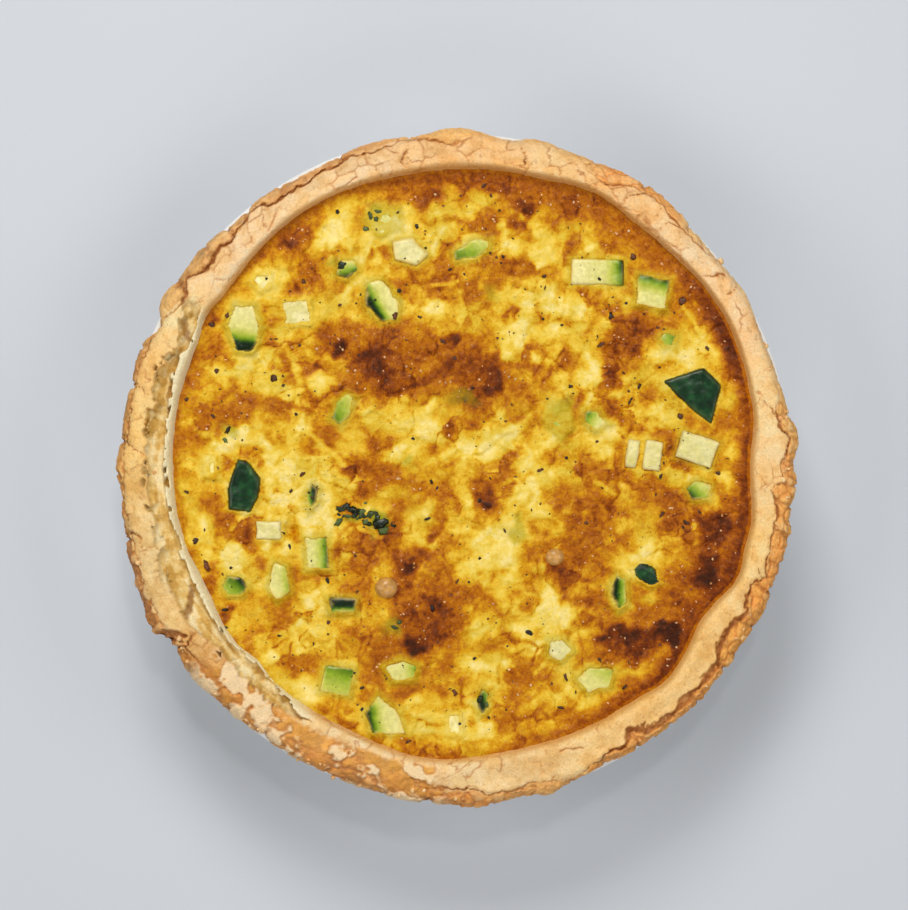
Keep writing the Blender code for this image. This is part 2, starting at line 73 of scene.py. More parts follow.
def points_of(piece):
    """All points of a mesh in millimetres, one row each."""
    flat = np.empty(len(piece.data.vertices) * 3)
    piece.data.vertices.foreach_get("co", flat)
    return flat.reshape(-1, 3) / MM


def normals_of(piece):
    """The outward direction at each point of a mesh."""
    flat = np.empty(len(piece.data.vertices) * 3)
    piece.data.vertices.foreach_get("normal", flat)
    return flat.reshape(-1, 3)


def set_points(piece, points):
    """Puts points, given in millimetres, back into the mesh in metres."""
    piece.data.vertices.foreach_set("co", (points * MM).astype(np.float32).ravel())
    piece.data.update()


def paint(piece, name, values):
    """Keeps a number or a colour for each point, under a name that a material can read."""
    if values.ndim == 1:
        layer = piece.data.attributes.new(name, "FLOAT", "POINT")
        layer.data.foreach_set("value", values.astype(np.float32))
    else:
        layer = piece.data.attributes.new(name, "FLOAT_COLOR", "POINT")
        full = np.ones((len(values), 4), np.float32)
        full[:, :3] = values
        layer.data.foreach_set("color", full.ravel())


def finish_piece(piece, name, shader, nodes=()):
    """Names a piece, gives it its material, hangs it on the root body, and hides the solids it stands for."""
    piece.name = name
    piece.data.name = name
    piece.data.materials.clear()
    piece.data.materials.append(shader)
    piece.data.polygons.foreach_set("use_smooth", [True] * len(piece.data.polygons))
    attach(piece, "root")
    if nodes:
        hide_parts(*nodes)
    print(name, "has", len(piece.data.polygons), "faces")


# %% [markdown]
# Uneven surfaces need chance that can be repeated. A block of random numbers from a fixed seed is
# read with smooth blending between its cells. That gives soft hills of any width, the same in
# every run. Round lumps come from the distance to the nearest of many scattered points.
# %% Tools for uneven surfaces
TABLE = 64
CHANCE = np.random.default_rng(11)
VALUES = CHANCE.uniform(-1.0, 1.0, (TABLE, TABLE, TABLE))
SCATTER = CHANCE.uniform(0.15, 0.85, (TABLE, TABLE, TABLE, 3))
# A fixed turn keeps the cells of the block from lining up with the part
TURNED = np.array([[0.36, 0.48, -0.8], [-0.8, 0.6, 0.0], [0.48, 0.64, 0.6]])
# More than any squared distance to a neighbouring point, in cells
FAR_AWAY = 9.0


def waves(points, width, seed=0):
    """Soft hills between -1 and 1, about `width` millimetres across."""
    place = points @ TURNED / width + 17.3 * seed
    corner = np.floor(place).astype(int)
    part = place - corner
    part = part * part * (3.0 - 2.0 * part)
    total = np.zeros(len(points))
    for step in itertools.product((0, 1), repeat=3):
        gaps = np.abs(1 - np.array(step) - part)
        cell = (corner + step) % TABLE
        total += gaps[:, 0] * gaps[:, 1] * gaps[:, 2] * VALUES[tuple(cell.T)]
    return total


def scattered(points, width, shift):
    """For each neighbouring cell in turn: its place in the block, and the squared gap to its point."""
    place = points @ TURNED / width + shift
    corner = np.floor(place).astype(int)
    for step in itertools.product((-1, 0, 1), repeat=3):
        cell = corner + step
        at = tuple((cell % TABLE).T)
        yield at, ((place - (cell + SCATTER[at])) ** 2).sum(axis=1)


def lumps(points, width, seed=0):
    """Round lumps, 1 in their middles and 0 in the creases between them."""
    nearest = np.full(len(points), FAR_AWAY)
    for _, gap in scattered(points, width, 11.7 * seed):
        nearest = np.minimum(nearest, gap)
    return 1.0 - np.clip(nearest / 0.9, 0.0, 1.0)


def cells(points, width, seed=0):
    """Crazed cells: a random number for each cell, and how far in mm its border is away."""
    first = second = np.full(len(points), FAR_AWAY)
    value = np.zeros(len(points))
    for at, gap in scattered(points, width, 13.1 * seed):
        closer = gap < first
        second = np.where(closer, first, np.minimum(second, gap))
        value = np.where(closer, VALUES[at], value)
        first = np.minimum(first, gap)
    return value, (np.sqrt(second) - np.sqrt(first)) * width


# %% [markdown]
# Edges, hills and cracks are given as short tables, and these tools read them: a smooth step, a
# row of hills round the rim, a value by angle, and the distance to a bent line.
# %% Tools for edges and lines
def rise(value, low, high):
    """Goes smoothly from 0 to 1 while the value goes from low to high."""
    part = np.clip((value - low) / (high - low), 0.0, 1.0)
    return part * part * (3.0 - 2.0 * part)


def hills(degrees, table, widen=1.0):
    """Sum of smooth hills round the rim: middle and half width in degrees, height in mm."""
    total = np.zeros_like(degrees)
    for middle, half, height in table:
        away = np.abs((degrees - middle + 180.0) % 360.0 - 180.0) / (half * widen)
        total += height * np.where(away < 1.0, 0.5 + 0.5 * np.cos(math.pi * np.minimum(away, 1.0)), 0.0)
    return total


def round_the_rim(degrees, table, column=1):
    """Reads a value from a table by angle, and closes the circle."""
    rows = sorted(table)
    angles = [row[0] for row in rows] + [rows[0][0] + 360.0]
    values = [row[column] for row in rows] + [rows[0][column]]
    turned = (degrees - angles[0]) % 360.0 + angles[0]
    return np.interp(turned, angles, values)


def from_line(x, y, line):
    """Distance in mm to a line of (x, y, amount) points, and the amount at the nearest place."""
    nearest = np.full(len(x), 1e9)
    amount = np.zeros(len(x))
    for (x0, y0, a0), (x1, y1, a1) in zip(line, line[1:]):
        dx, dy = x1 - x0, y1 - y0
        part = np.clip(((x - x0) * dx + (y - y0) * dy) / max(dx * dx + dy * dy, 1e-9), 0.0, 1.0)
        away = np.hypot(x - x0 - part * dx, y - y0 - part * dy)
        closer = away < nearest
        nearest = np.where(closer, away, nearest)
        amount = np.where(closer, a0 + (a1 - a0) * part, amount)
    return nearest, amount


# %% [markdown]
# ## Colours and nodes
# Colours are written as the sRGB values that a screen shows. Light is added up in linear values,
# so one function turns every colour before it is used. A second one adds a node to a material,
# gives it its settings, and links or sets its inputs.
# %% Tools for colours and materials
def linear(text):
    """Turns a colour such as "#F3D1A3" into three linear numbers."""
    shown = np.array([int(text[i:i + 2], 16) for i in (1, 3, 5)]) / 255.0
    return np.where(shown <= 0.04045, shown / 12.92, ((shown + 0.055) / 1.055) ** 2.4)


def blend(first, second, amount):
    """Mixes colours: 0 keeps the first, 1 gives the second."""
    share = np.clip(np.asarray(amount, float), 0.0, 1.0)[..., None]
    return first * (1.0 - share) + second * share


def colours_between(value, stops):
    """Reads a colour for each value from a list of (value, colour) stops."""
    places = [place for place, _ in stops]
    tones = np.array([linear(text) for _, text in stops])
    return np.stack([np.interp(value, places, tones[:, i]) for i in range(3)], axis=-1)


def put(tree, kind, inputs=None, **settings):
    """Adds a node with its settings; inputs are numbers, colours or other nodes' outputs."""
    node = tree.nodes.new(kind)
    for key, value in settings.items():
        setattr(node, key, value)
    for key, value in (inputs or {}).items():
        if isinstance(value, bpy.types.NodeSocket):
            tree.links.new(value, node.inputs[key])
        else:
            node.inputs[key].default_value = value
    return node


def new_material(name, roughness, ior, gloss=0.5):
    """An empty material with a Principled shader; returns the material, its tree and the shader."""
    made = bpy.data.materials.new(name)
    made.use_nodes = True
    shader = made.node_tree.nodes["Principled BSDF"]
    shader.inputs["Roughness"].default_value = roughness
    shader.inputs["IOR"].default_value = ior
    shader.inputs["Specular IOR Level"].default_value = gloss
    return made, made.node_tree, shader


# Sockets of the Mix node when it mixes colours
MIX_SHARE, MIX_FIRST, MIX_SECOND, MIX_RESULT = 0, 6, 7, 2

# %% [markdown]
# ## Camera, floor and light
# The camera looks straight down on the quiche, a little off its middle, from far enough for an
# almost flat view. The light comes softly from all four sides, most of it from a window beyond the
# dish, and a small bright lamp makes the wet glints. Nothing bright stands straight above, because
# a moist surface would mirror it as a grey veil over the deep browns.
# %% Set the camera, the floor and the lights
VIEW_WIDTH = 203.3 * MM
RIM_LEVEL = 36.0 * MM
CAMERA_ABOVE_RIM = 650.0 * MM
CAMERA_MIDDLE = (-0.9 * MM, 2.7 * MM)
SENSOR_WIDTH = 36.0

let_go()
bpy.ops.object.camera_add(location=(*CAMERA_MIDDLE, RIM_LEVEL + CAMERA_ABOVE_RIM), rotation=(0.0, 0.0, 0.0))
camera = bpy.context.object
camera.data.sensor_fit = "HORIZONTAL"
camera.data.sensor_width = SENSOR_WIDTH
camera.data.lens = SENSOR_WIDTH * CAMERA_ABOVE_RIM / VIEW_WIDTH
bpy.context.scene.camera = camera

let_go()
bpy.ops.mesh.primitive_plane_add(size=3.0, location=(0.0, 0.0, -0.2 * MM))
floor = bpy.context.object
floor.name = "floor"
pale_floor, _, floor_shader = new_material("matt_pale_floor", 0.8, 1.45)
floor_shader.inputs["Base Color"].default_value = (*linear("#C6CBD2"), 1.0)
floor.data.materials.append(pale_floor)


def soft_lamp(name, place, size, power, tint):
    """A square lamp in metres that faces the middle of the quiche."""
    let_go()
    bpy.ops.object.light_add(type="AREA", location=place)
    lamp = bpy.context.object
    lamp.name = name
    lamp.data.size = size
    lamp.data.energy = power
    lamp.data.color = tint
    away = math.hypot(place[0], place[1])
    lamp.rotation_euler = (math.atan2(away, place[2]), 0.0, math.atan2(place[0], -place[1]))
    return lamp


soft_lamp("window", (-0.10, 0.62, 0.72), 0.34, 5.0, (1.0, 0.985, 0.96))
soft_lamp("front", (0.10, -0.62, 0.72), 0.50, 2.2, (1.0, 0.98, 0.96))
soft_lamp("left", (-0.66, -0.05, 0.70), 0.45, 2.5, (1.0, 0.98, 0.96))
soft_lamp("right", (0.66, 0.05, 0.70), 0.45, 2.0, (1.0, 0.98, 0.96))
soft_lamp("glint", (0.06, 0.28, 1.00), 0.07, 0.9, (1.0, 0.97, 0.94))

world = bpy.data.worlds.new("pale_room")
world.use_nodes = True
world.node_tree.nodes["Background"].inputs["Color"].default_value = (1.0, 0.98, 0.95, 1.0)
world.node_tree.nodes["Background"].inputs["Strength"].default_value = 0.12
bpy.context.scene.world = world
bpy.context.scene.view_settings.view_transform = "Standard"
print("lens in mm:", round(camera.data.lens, 1))

# %% [markdown]
# ## The dish
# A plain white stoneware dish with a thin rounded rim. Its underside starts as a flat disc, and
# each step pulls the disc up and makes it wider or narrower: out over the foot, up the wall, over
# the rim, and down inside to the floor. That is how a thrower raises a dish, and it closes itself.
# %% Raise the dish
DISH_RIM_RADIUS = 75.3
DISH_FOOT_RADIUS = 65.0
DISH_HEIGHT = 32.0
DISH_WALL = 4.0
DISH_FLOOR = 4.0
DISH_SIDES = 192


def arc(middle_r, middle_z, radius, start, end, steps):
    """Points of an arc in the section of the dish, angles in degrees from straight out."""
    angles = np.radians(np.linspace(start, end, steps))
    return [(middle_r + radius * math.cos(a), middle_z + radius * math.sin(a)) for a in angles]


foot_round, rim_round, well_round = 1.4, 1.7, 2.6
section = arc(DISH_FOOT_RADIUS - 0.6, foot_round, foot_round, -90.0, -8.0, 6)
section += [(DISH_FOOT_RADIUS + (DISH_RIM_RADIUS - 0.5 - DISH_FOOT_RADIUS) * part, 2.0 + 28.0 * part)
            for part in (0.1, 0.3, 0.5, 0.7, 0.88)]
section += arc(DISH_RIM_RADIUS - rim_round, DISH_HEIGHT - rim_round, rim_round, 0.0, 90.0, 6)
inner_rim = DISH_RIM_RADIUS - DISH_WALL
section += arc(inner_rim + 0.9, DISH_HEIGHT - 0.9, 0.9, 90.0, 180.0, 5)
inner_foot = DISH_FOOT_RADIUS - DISH_WALL
section += [(inner_foot + (inner_rim - inner_foot) * part, 6.0 + 25.0 * part) for part in (0.8, 0.5, 0.2)]
section += arc(inner_foot - well_round, DISH_FLOOR + well_round, well_round, 0.0, -90.0, 6)

let_go()
bpy.ops.mesh.primitive_circle_add(vertices=DISH_SIDES, radius=section[0][0] * MM, fill_type="NGON")
dish = bpy.context.object
bpy.ops.object.mode_set(mode="EDIT")
for (radius, height), (next_radius, next_height) in zip(section, section[1:]):
    bpy.ops.mesh.extrude_region_move(
        TRANSFORM_OT_translate={"value": (0.0, 0.0, (next_height - height) * MM)})
    bpy.ops.transform.resize(value=(next_radius / radius, next_radius / radius, 1.0))
close_up(0.001 * MM)

# %% [markdown]
# Tin-white glaze fired on stoneware: nearly white, a trace warm, very smooth, with the faint
# waviness that a dipped glaze keeps. That gives broad clean highlights with softly bent edges.
# %% Glaze the dish
GLAZE_WAVE = 9.0

white_glaze, tree, shader = new_material("white_glazed_stoneware", 0.12, 1.5)
where = put(tree, "ShaderNodeTexCoord").outputs["Object"]
wavy = put(tree, "ShaderNodeTexNoise", {"Vector": where, "Scale": 1.0 / (GLAZE_WAVE * MM), "Detail": 2.0})
tone = put(tree, "ShaderNodeValToRGB", {"Fac": wavy.outputs["Fac"]})
tone.color_ramp.elements[0].position = 0.3
tone.color_ramp.elements[0].color = (*linear("#ECEAE4"), 1.0)
tone.color_ramp.elements[1].position = 0.7
tone.color_ramp.elements[1].color = (*linear("#F4F3EF"), 1.0)
tree.links.new(tone.outputs["Color"], shader.inputs["Base Color"])
bent = put(tree, "ShaderNodeBump", {"Height": wavy.outputs["Fac"], "Strength": 0.25, "Distance": 0.2 * MM})
tree.links.new(bent.outputs["Normal"], shader.inputs["Normal"])
finish_piece(dish, "baking_dish", white_glaze, ["dish"])

# %% [markdown]
# ## Where things lie
# Nothing about the case is a true circle: the custard pulled the inner edge in and out, and the
# rim was pressed by hand. Two short tables of smooth hills give both edges, the same as in the
# solid, so every finer piece can be fitted to them.
# %% The two edges of the pastry
OUTER_BASE = 75.1
INNER_BASE = 65.6
EDGE_HEIGHT = 34.9
CREST_HEIGHT = 38.2
OUTER_EDGE_HEIGHT = 34.6
GROOVE_START = 147.0
GROOVE_END = 243.0
GROOVE_FLOOR = 34.2
GAP = 0.3
FLOOR_TOP = DISH_FLOOR + GAP + 3.2
OUTER_BUMPS = [
    (5, 4, 1.6), (20, 9, -0.9), (41, 7, -0.6), (55, 9, 1.0), (75, 4, 0.6),
    (82, 4, -0.8), (90, 5, 0.9), (97, 3, -0.5), (105, 5, 0.4), (118, 8, -1.0),
    (131, 4, -0.9), (140, 6, 0.6), (150, 4, 1.4), (155, 3, -1.0), (161, 5, 1.2),
    (171, 6, 0.9), (180, 5, 1.6), (188, 4, 1.0), (196, 6, 1.7), (203, 5, 1.9),
    (208, 4, 2.3), (218, 5, 1.0), (240, 14, -0.5), (262, 6, 0.3), (273, 8, 1.3),
    (285, 4, 1.1), (297, 5, -0.7), (318, 8, 0.4), (335, 7, 0.7), (346, 7, 1.0),
    (356, 5, 0.9),
]
INNER_BUMPS = [
    (0, 12, -1.7), (30, 20, 1.1), (64, 12, 1.2), (120, 24, 1.0), (149, 6, 1.0),
    (205, 12, -1.0), (224, 6, -1.0), (264, 20, 1.5), (314, 7, 1.0), (328, 10, -1.8),
    (339, 6, 0.8),
]


def outer_edge(degrees):
    """Radius of the outside of the rim in mm."""
    return OUTER_BASE + hills(degrees, OUTER_BUMPS, 1.3)


def inner_edge(degrees):
    """Radius in mm at which the custard meets the pastry."""
    angle = np.radians(degrees)
    return INNER_BASE + 1.6 * np.cos(angle) + 1.3 * np.sin(angle) + hills(degrees, INNER_BUMPS)


def case_inside(degrees, height):
    """Radius in mm of the pastry wall below the custard's edge."""
    part = min(1.0, max(0.0, (height - FLOOR_TOP) / (EDGE_HEIGHT - FLOOR_TOP)))
    low, high = inner_foot - 3.6, inner_rim - 3.6
    return low + (high - low) * part + (inner_edge(degrees) - high) * rise(part, 0.3, 1.0)


# %% [markdown]
# ## The courgette pieces
# Cubes and slices of cooked courgette stand in the custard. Their outlines are read from the
# solids, in order round each piece, because the custard's skin has to climb to them. A flat
# plane fitted through each top tells the skin how high that is.
# %% Outlines and tops of the pieces
def outline_of(node):
    """Corners of a solid seen from above, in mm, in order round the piece."""
    corners = points_of(node)
    low = corners[corners[:, 2] < corners[:, 2].min() + 0.5]
    flat_corners = np.unique(np.round(low[:, :2], 2), axis=0)
    middle = flat_corners.mean(axis=0)
    order = np.argsort(np.arctan2(flat_corners[:, 1] - middle[1], flat_corners[:, 0] - middle[0]))
    return flat_corners[order]


def beyond_outline(x, y, corners):
    """How far in mm places lie outside an outline; negative inside it."""
    furthest = np.full(len(x), -1e9)
    for here, there in zip(corners, np.roll(corners, -1, axis=0)):
        along = (there - here) / np.linalg.norm(there - here)
        furthest = np.maximum(furthest, (x - here[0]) * along[1] - (y - here[1]) * along[0])
    return furthest


def top_of(node, corners):
    """Level and slopes of a piece's top: height = a + b x + c y."""
    points = points_of(node)
    inside = beyond_outline(points[:, 0], points[:, 1], corners) < -0.3
    high = points[inside & (points[:, 2] > points[:, 2].mean())]
    terms = np.stack([np.ones(len(high)), high[:, 0], high[:, 1]], axis=1)
    return np.linalg.lstsq(terms, high[:, 2], rcond=None)[0]


nodes = {name[-2:]: node for name, node in frame["nodes"].items() if "courgette" in name}
outlines = {number: outline_of(node) for number, node in nodes.items()}
tops = {number: top_of(nodes[number], corners) for number, corners in outlines.items()}
print("courgette pieces:", len(outlines))

# %% [markdown]
# A courgette is dark green outside, bright green just below, and creamy in its middle. Each piece
# was cut from somewhere between. So a table says on which side of a piece the skin lies, and
# short lists of colours say what is seen by the depth below it.
# %% Skin and flesh of the pieces
# Direction of the skin in degrees, how much of it shows from above in mm, and how far the
# green reaches into the flesh, where 1 is usual
SKIN_SIDE = {
    "02": (100, 0.3, 1.0), "03": (285, 1.5, 1.0), "04": (209, 2.3, 0.7), "05": (262, 3.0, 0.9),
    "08": (215, 0.4, 2.8), "09": (250, 0.5, 2.8), "10": (5, 0.8, 1.3), "11": (75, 0.9, 1.3),
    "12": (20, 0.2, 2.4), "18": (150, 0.9, 1.3), "19": (230, 1.0, 1.5), "20": (180, 2.0, 1.0),
    "24": (5, 1.9, 1.0), "26": (0, 0.8, 1.0), "27": (50, 1.6, 2.4), "28": (0, 0.0, 0.9),
    "29": (90, 2.7, 0.7), "30": (70, 0.3, 3.2), "31": (10, 0.0, 1.2), "32": (190, 1.3, 1.0),
    "33": (200, 2.2, 1.2), "17": (170, -0.6, 2.0), "22": (60, -1.6, 2.0), "36": (20, -3.4, 1.0),
    "14": (200, -4.5, 1.0), "01": (20, -3.6, 1.0),
}
ALL_SKIN = ["13", "21", "23"]
# Pieces with clean cut faces, and pieces of the palest flesh
CRISP = ["13", "14", "15", "16", "23", "25", "10"]
PALE_FLESH = ["01", "07", "14", "15", "16", "25", "36"]
# Colour by depth in mm below the skin's inner face
BELOW_SKIN = [
    (-4.0, "#0B1A0C"), (-0.5, "#12260E"), (-0.1, "#2C5010"), (0.3, "#5C7E12"), (0.9, "#8EA828"),
    (1.8, "#C0C450"), (3.0, "#DDD67E"), (8.0, "#E9DF98"),
]
# Colours that a mottling from about -1 to 1 picks from
SKIN_TONES = [(-1.2, "#0A2010"), (0.0, "#10341A"), (0.9, "#1D4E26"), (1.4, "#568048")]
FLESH_TONES = [(-1.2, "#DECB62"), (0.0, "#EFDF8A"), (1.0, "#F8ECB0")]
PALE_TONES = [(-1.2, "#D8CE80"), (1.0, "#EAE0A8")]
print("pieces with skin on a side:", len(SKIN_SIDE), "and with skin all over:", len(ALL_SKIN))

# %% [markdown]
# Heat rounds the corners of a cube and lets its faces sag. Each piece starts as a copy of its
# solid, is remeshed into small even cells, is smoothed, and is pushed a little out of shape. The
# colour is then read from the tables, and melts into the custard's yellow at the edges.
# %% Soften and colour the pieces
CELL = 0.34
# How far in mm the sides of a piece wander from the solid, for cut faces and for the others
CRISP_WANDER, WANDER = 0.12, 0.36

let_go()
pieces = {}
for number in sorted(outlines):
    pieces[number] = bpy.data.objects.new("cube_" + number, nodes[number].data.copy())
    bpy.context.scene.collection.objects.link(pieces[number])
    take_up(pieces[number])
bpy.ops.object.mode_set(mode="EDIT")
bpy.ops.mesh.select_all(action="SELECT")
bpy.ops.mesh.remove_doubles(threshold=0.01 * MM)
bpy.ops.object.mode_set(mode="OBJECT")

for number, piece in pieces.items():
    let_go()
    take_up(piece)
    grid_cells = piece.modifiers.new("cells", "REMESH")
    grid_cells.mode = "VOXEL"
    grid_cells.voxel_size = CELL * MM
    bpy.ops.object.modifier_apply(modifier=grid_cells.name)
    soft = piece.modifiers.new("soft", "SMOOTH")
    soft.factor = 0.6
    soft.iterations = 4 if number in CRISP else 9
    bpy.ops.object.modifier_apply(modifier=soft.name)

    places = points_of(piece)
    outside_by = beyond_outline(places[:, 0], places[:, 1], outlines[number])
    wander = CRISP_WANDER if number in CRISP else WANDER
    seen_flat = places * (1.0, 1.0, 0.0)
    bend_x, bend_y = waves(seen_flat, 3.4, 45), waves(seen_flat, 3.4, 46)
    sag = 0.2 * waves(places, 2.2, 41) + 0.06 * waves(places, 0.9, 42)
    places = places + normals_of(piece) * sag[:, None]
    places[:, 0] += wander * bend_x
    places[:, 1] += wander * bend_y
    set_points(piece, places)

    mottle = waves(places, 1.5, 43) + 0.5 * waves(places, 0.6, 44)
    if number in ALL_SKIN:
        tone = colours_between(mottle, SKIN_TONES)
        below = places[:, 2].max() - places[:, 2]
        tone = blend(tone, linear("#7C8428"), rise(below + 0.3 * mottle, 2.0, 3.0))
    elif number in SKIN_SIDE:
        facing, thick, spread = SKIN_SIDE[number]
        toward = np.array([math.cos(math.radians(facing)), math.sin(math.radians(facing))])
        reach_out = (places[:, :2] - outlines[number].mean(axis=0)) @ toward
        depth = reach_out.max() - thick - reach_out + 0.22 * mottle
        tone = colours_between(np.where(depth > 0.0, depth / spread, depth), BELOW_SKIN)
    else:
        tone = colours_between(mottle, FLESH_TONES)
    if number in PALE_FLESH:
        whiter = rise(tone[:, 0], 0.45, 0.7)
        tone = blend(tone, colours_between(mottle, PALE_TONES), 0.8 * whiter)
    # The custard clings to the edges, least to the skin and to cut faces
    clings = 0.05 if number in ALL_SKIN else 0.15 if number in CRISP else 0.7
    tone = blend(tone, linear("#E2C45C"), clings * rise(outside_by + 0.4 * mottle, -1.1, 0.1))
    glassy = rise(waves(places, 3.0, 47), 0.1, 0.6) * (0.0 if number in ALL_SKIN else 0.3)
    tone = blend(tone, tone * (0.88, 0.88, 0.6), glassy)
    paint(piece, "flesh", np.clip(tone, 0.0, 1.0))
print("pieces softened:", len(pieces))

# %% [markdown]
# Cooked courgette: the flesh turns glassy and pale, the layer under the skin keeps a clear
# green, and the skin goes almost black. All of it is wet, so the highlights are sharp. Fine
# streaks of about a millimetre stand for the fibres and seeds of the flesh.
# %% Finish the courgette
FIBRE = 0.9


def courgette_finish(name, roughness):
    """Wet courgette that takes its colour from the piece and adds fibres and moisture."""
    made, tree, shader = new_material(name, roughness, 1.38)
    where = put(tree, "ShaderNodeTexCoord").outputs["Object"]
    tint = put(tree, "ShaderNodeAttribute", attribute_name="flesh")
    fibre = put(tree, "ShaderNodeTexNoise", {
        "Vector": where, "Scale": 1.0 / (FIBRE * MM), "Detail": 3.0, "Roughness": 0.6})
    shade = put(tree, "ShaderNodeMapRange", {
        "Value": fibre.outputs["Fac"], "From Min": 0.3, "From Max": 0.7, "To Min": 0.82, "To Max": 1.08})
    toned = put(tree, "ShaderNodeMix", {
        MIX_SHARE: 1.0, MIX_FIRST: tint.outputs["Color"], MIX_SECOND: shade.outputs["Result"]},
        data_type="RGBA", blend_type="MULTIPLY")
    tree.links.new(toned.outputs[MIX_RESULT], shader.inputs["Base Color"])
    veins = put(tree, "ShaderNodeBump", {
        "Height": fibre.outputs["Fac"], "Strength": 0.7, "Distance": 0.15 * MM})
    tree.links.new(veins.outputs["Normal"], shader.inputs["Normal"])
    return made


slots = {part["node"]: part["material_slot"] for part in frame["record"]["subparts"]}
ROUGHNESS = {"courgette_flesh": 0.24, "courgette_green": 0.22, "courgette_skin": 0.30}
finishes = {slot: courgette_finish("cooked_" + slot, rough) for slot, rough in ROUGHNESS.items()}
for number, piece in pieces.items():
    slot = slots["courgette_" + number]
    finish_piece(piece, "cooked_courgette_" + number, finishes[slot], ["courgette_" + number])

# %% [markdown]
# ## The pastry rim
# Shortcrust shrinks as it bakes, and the folded rim tears open: a long ragged crack runs all
# round, pale plates lie inside it, and outside it the crust is broken into browned lumps. On the
# left the fold has opened into a flaky groove. The cracks are lines read round the rim as an
# angle and a radius. Chance makes them ragged, so each line needs only its main turns.
# %% Lines of the cracks
# Degrees, radius in mm, depth in mm of the long crack
LONG_CRACK = [
    (0, 72.2, 0.6), (3, 73.4, 0.8), (5, 74.2, 0.8), (7, 72.8, 0.9), (9.5, 71.6, 0.6), (12, 73.6, 0.2),
    (20, 74.2, 0.15), (27, 74.6, 0.1), (36, 74.6, 0.15), (46, 73.2, 0.7), (50, 73.5, 0.7), (55, 74.3, 0.6),
    (58, 73.6, 0.4), (60, 72.6, 0.6), (63, 71.2, 0.5), (66, 72.4, 0.3), (70, 74.0, 0.1), (80, 74.6, 0.1),
    (88, 74.0, 0.1), (91, 71.8, 0.6), (94, 72.6, 0.8), (97, 73.8, 0.7), (100, 74.2, 0.3), (103, 73.2, 0.7),
    (110, 73.5, 0.8), (112, 72.3, 0.9), (115, 72.6, 0.9), (118, 71.9, 1.0), (122, 71.8, 1.1),
    (125, 71.7, 1.1), (128, 73.6, 1.0), (130, 73.2, 0.9), (132, 72.2, 1.0), (135, 71.6, 1.1),
    (138, 72.4, 1.1), (140, 71.5, 1.2), (143, 71.8, 1.1), (145, 74.0, 0.9), (148, 71.8, 1.0),
    (150, 72.2, 0.7), (155, 74.4, 0.6), (159, 74.3, 0.6), (164, 74.6, 0.6), (168, 74.3, 0.9),
    (174, 74.2, 0.8), (178, 75.0, 0.4), (185, 75.2, 0.5), (191, 75.4, 0.6), (193, 74.6, 0.5),
    (200, 75.0, 0.5), (208, 75.0, 0.6), (213, 73.4, 0.9), (217, 72.4, 0.8), (221, 71.9, 0.9),
    (225, 71.6, 0.7), (230, 72.8, 0.6), (234, 71.6, 0.7), (240, 71.4, 0.5), (246, 71.2, 0.6),
    (250, 72.0, 0.7), (254, 72.2, 0.5), (259, 73.2, 0.7), (261, 70.2, 0.7), (263, 70.6, 0.6),
    (265, 72.2, 0.8), (269, 72.0, 0.8), (273, 72.6, 0.9), (276, 73.6, 0.6), (280, 73.2, 0.6),
    (283, 72.4, 0.5), (287, 73.4, 0.3), (291, 74.2, 0.2), (295, 72.8, 0.7), (298, 72.0, 1.0),
    (301, 72.6, 1.2), (303.5, 70.4, 1.3), (305, 72.0, 1.5), (308, 72.9, 1.6), (312, 73.0, 1.7),
    (316, 72.4, 1.7), (320, 73.0, 1.5), (323, 72.4, 1.2), (324.5, 71.0, 1.1), (328, 70.6, 1.1),
    (331, 70.8, 1.1), (333, 72.4, 1.0), (336, 70.1, 0.9), (339, 71.4, 0.8), (340.5, 73.2, 0.7),
    (343, 72.2, 0.8), (347, 72.0, 0.7), (351, 72.6, 0.7), (354, 71.2, 0.7), (356, 70.6, 0.6),
    (358, 73.0, 0.5),
]
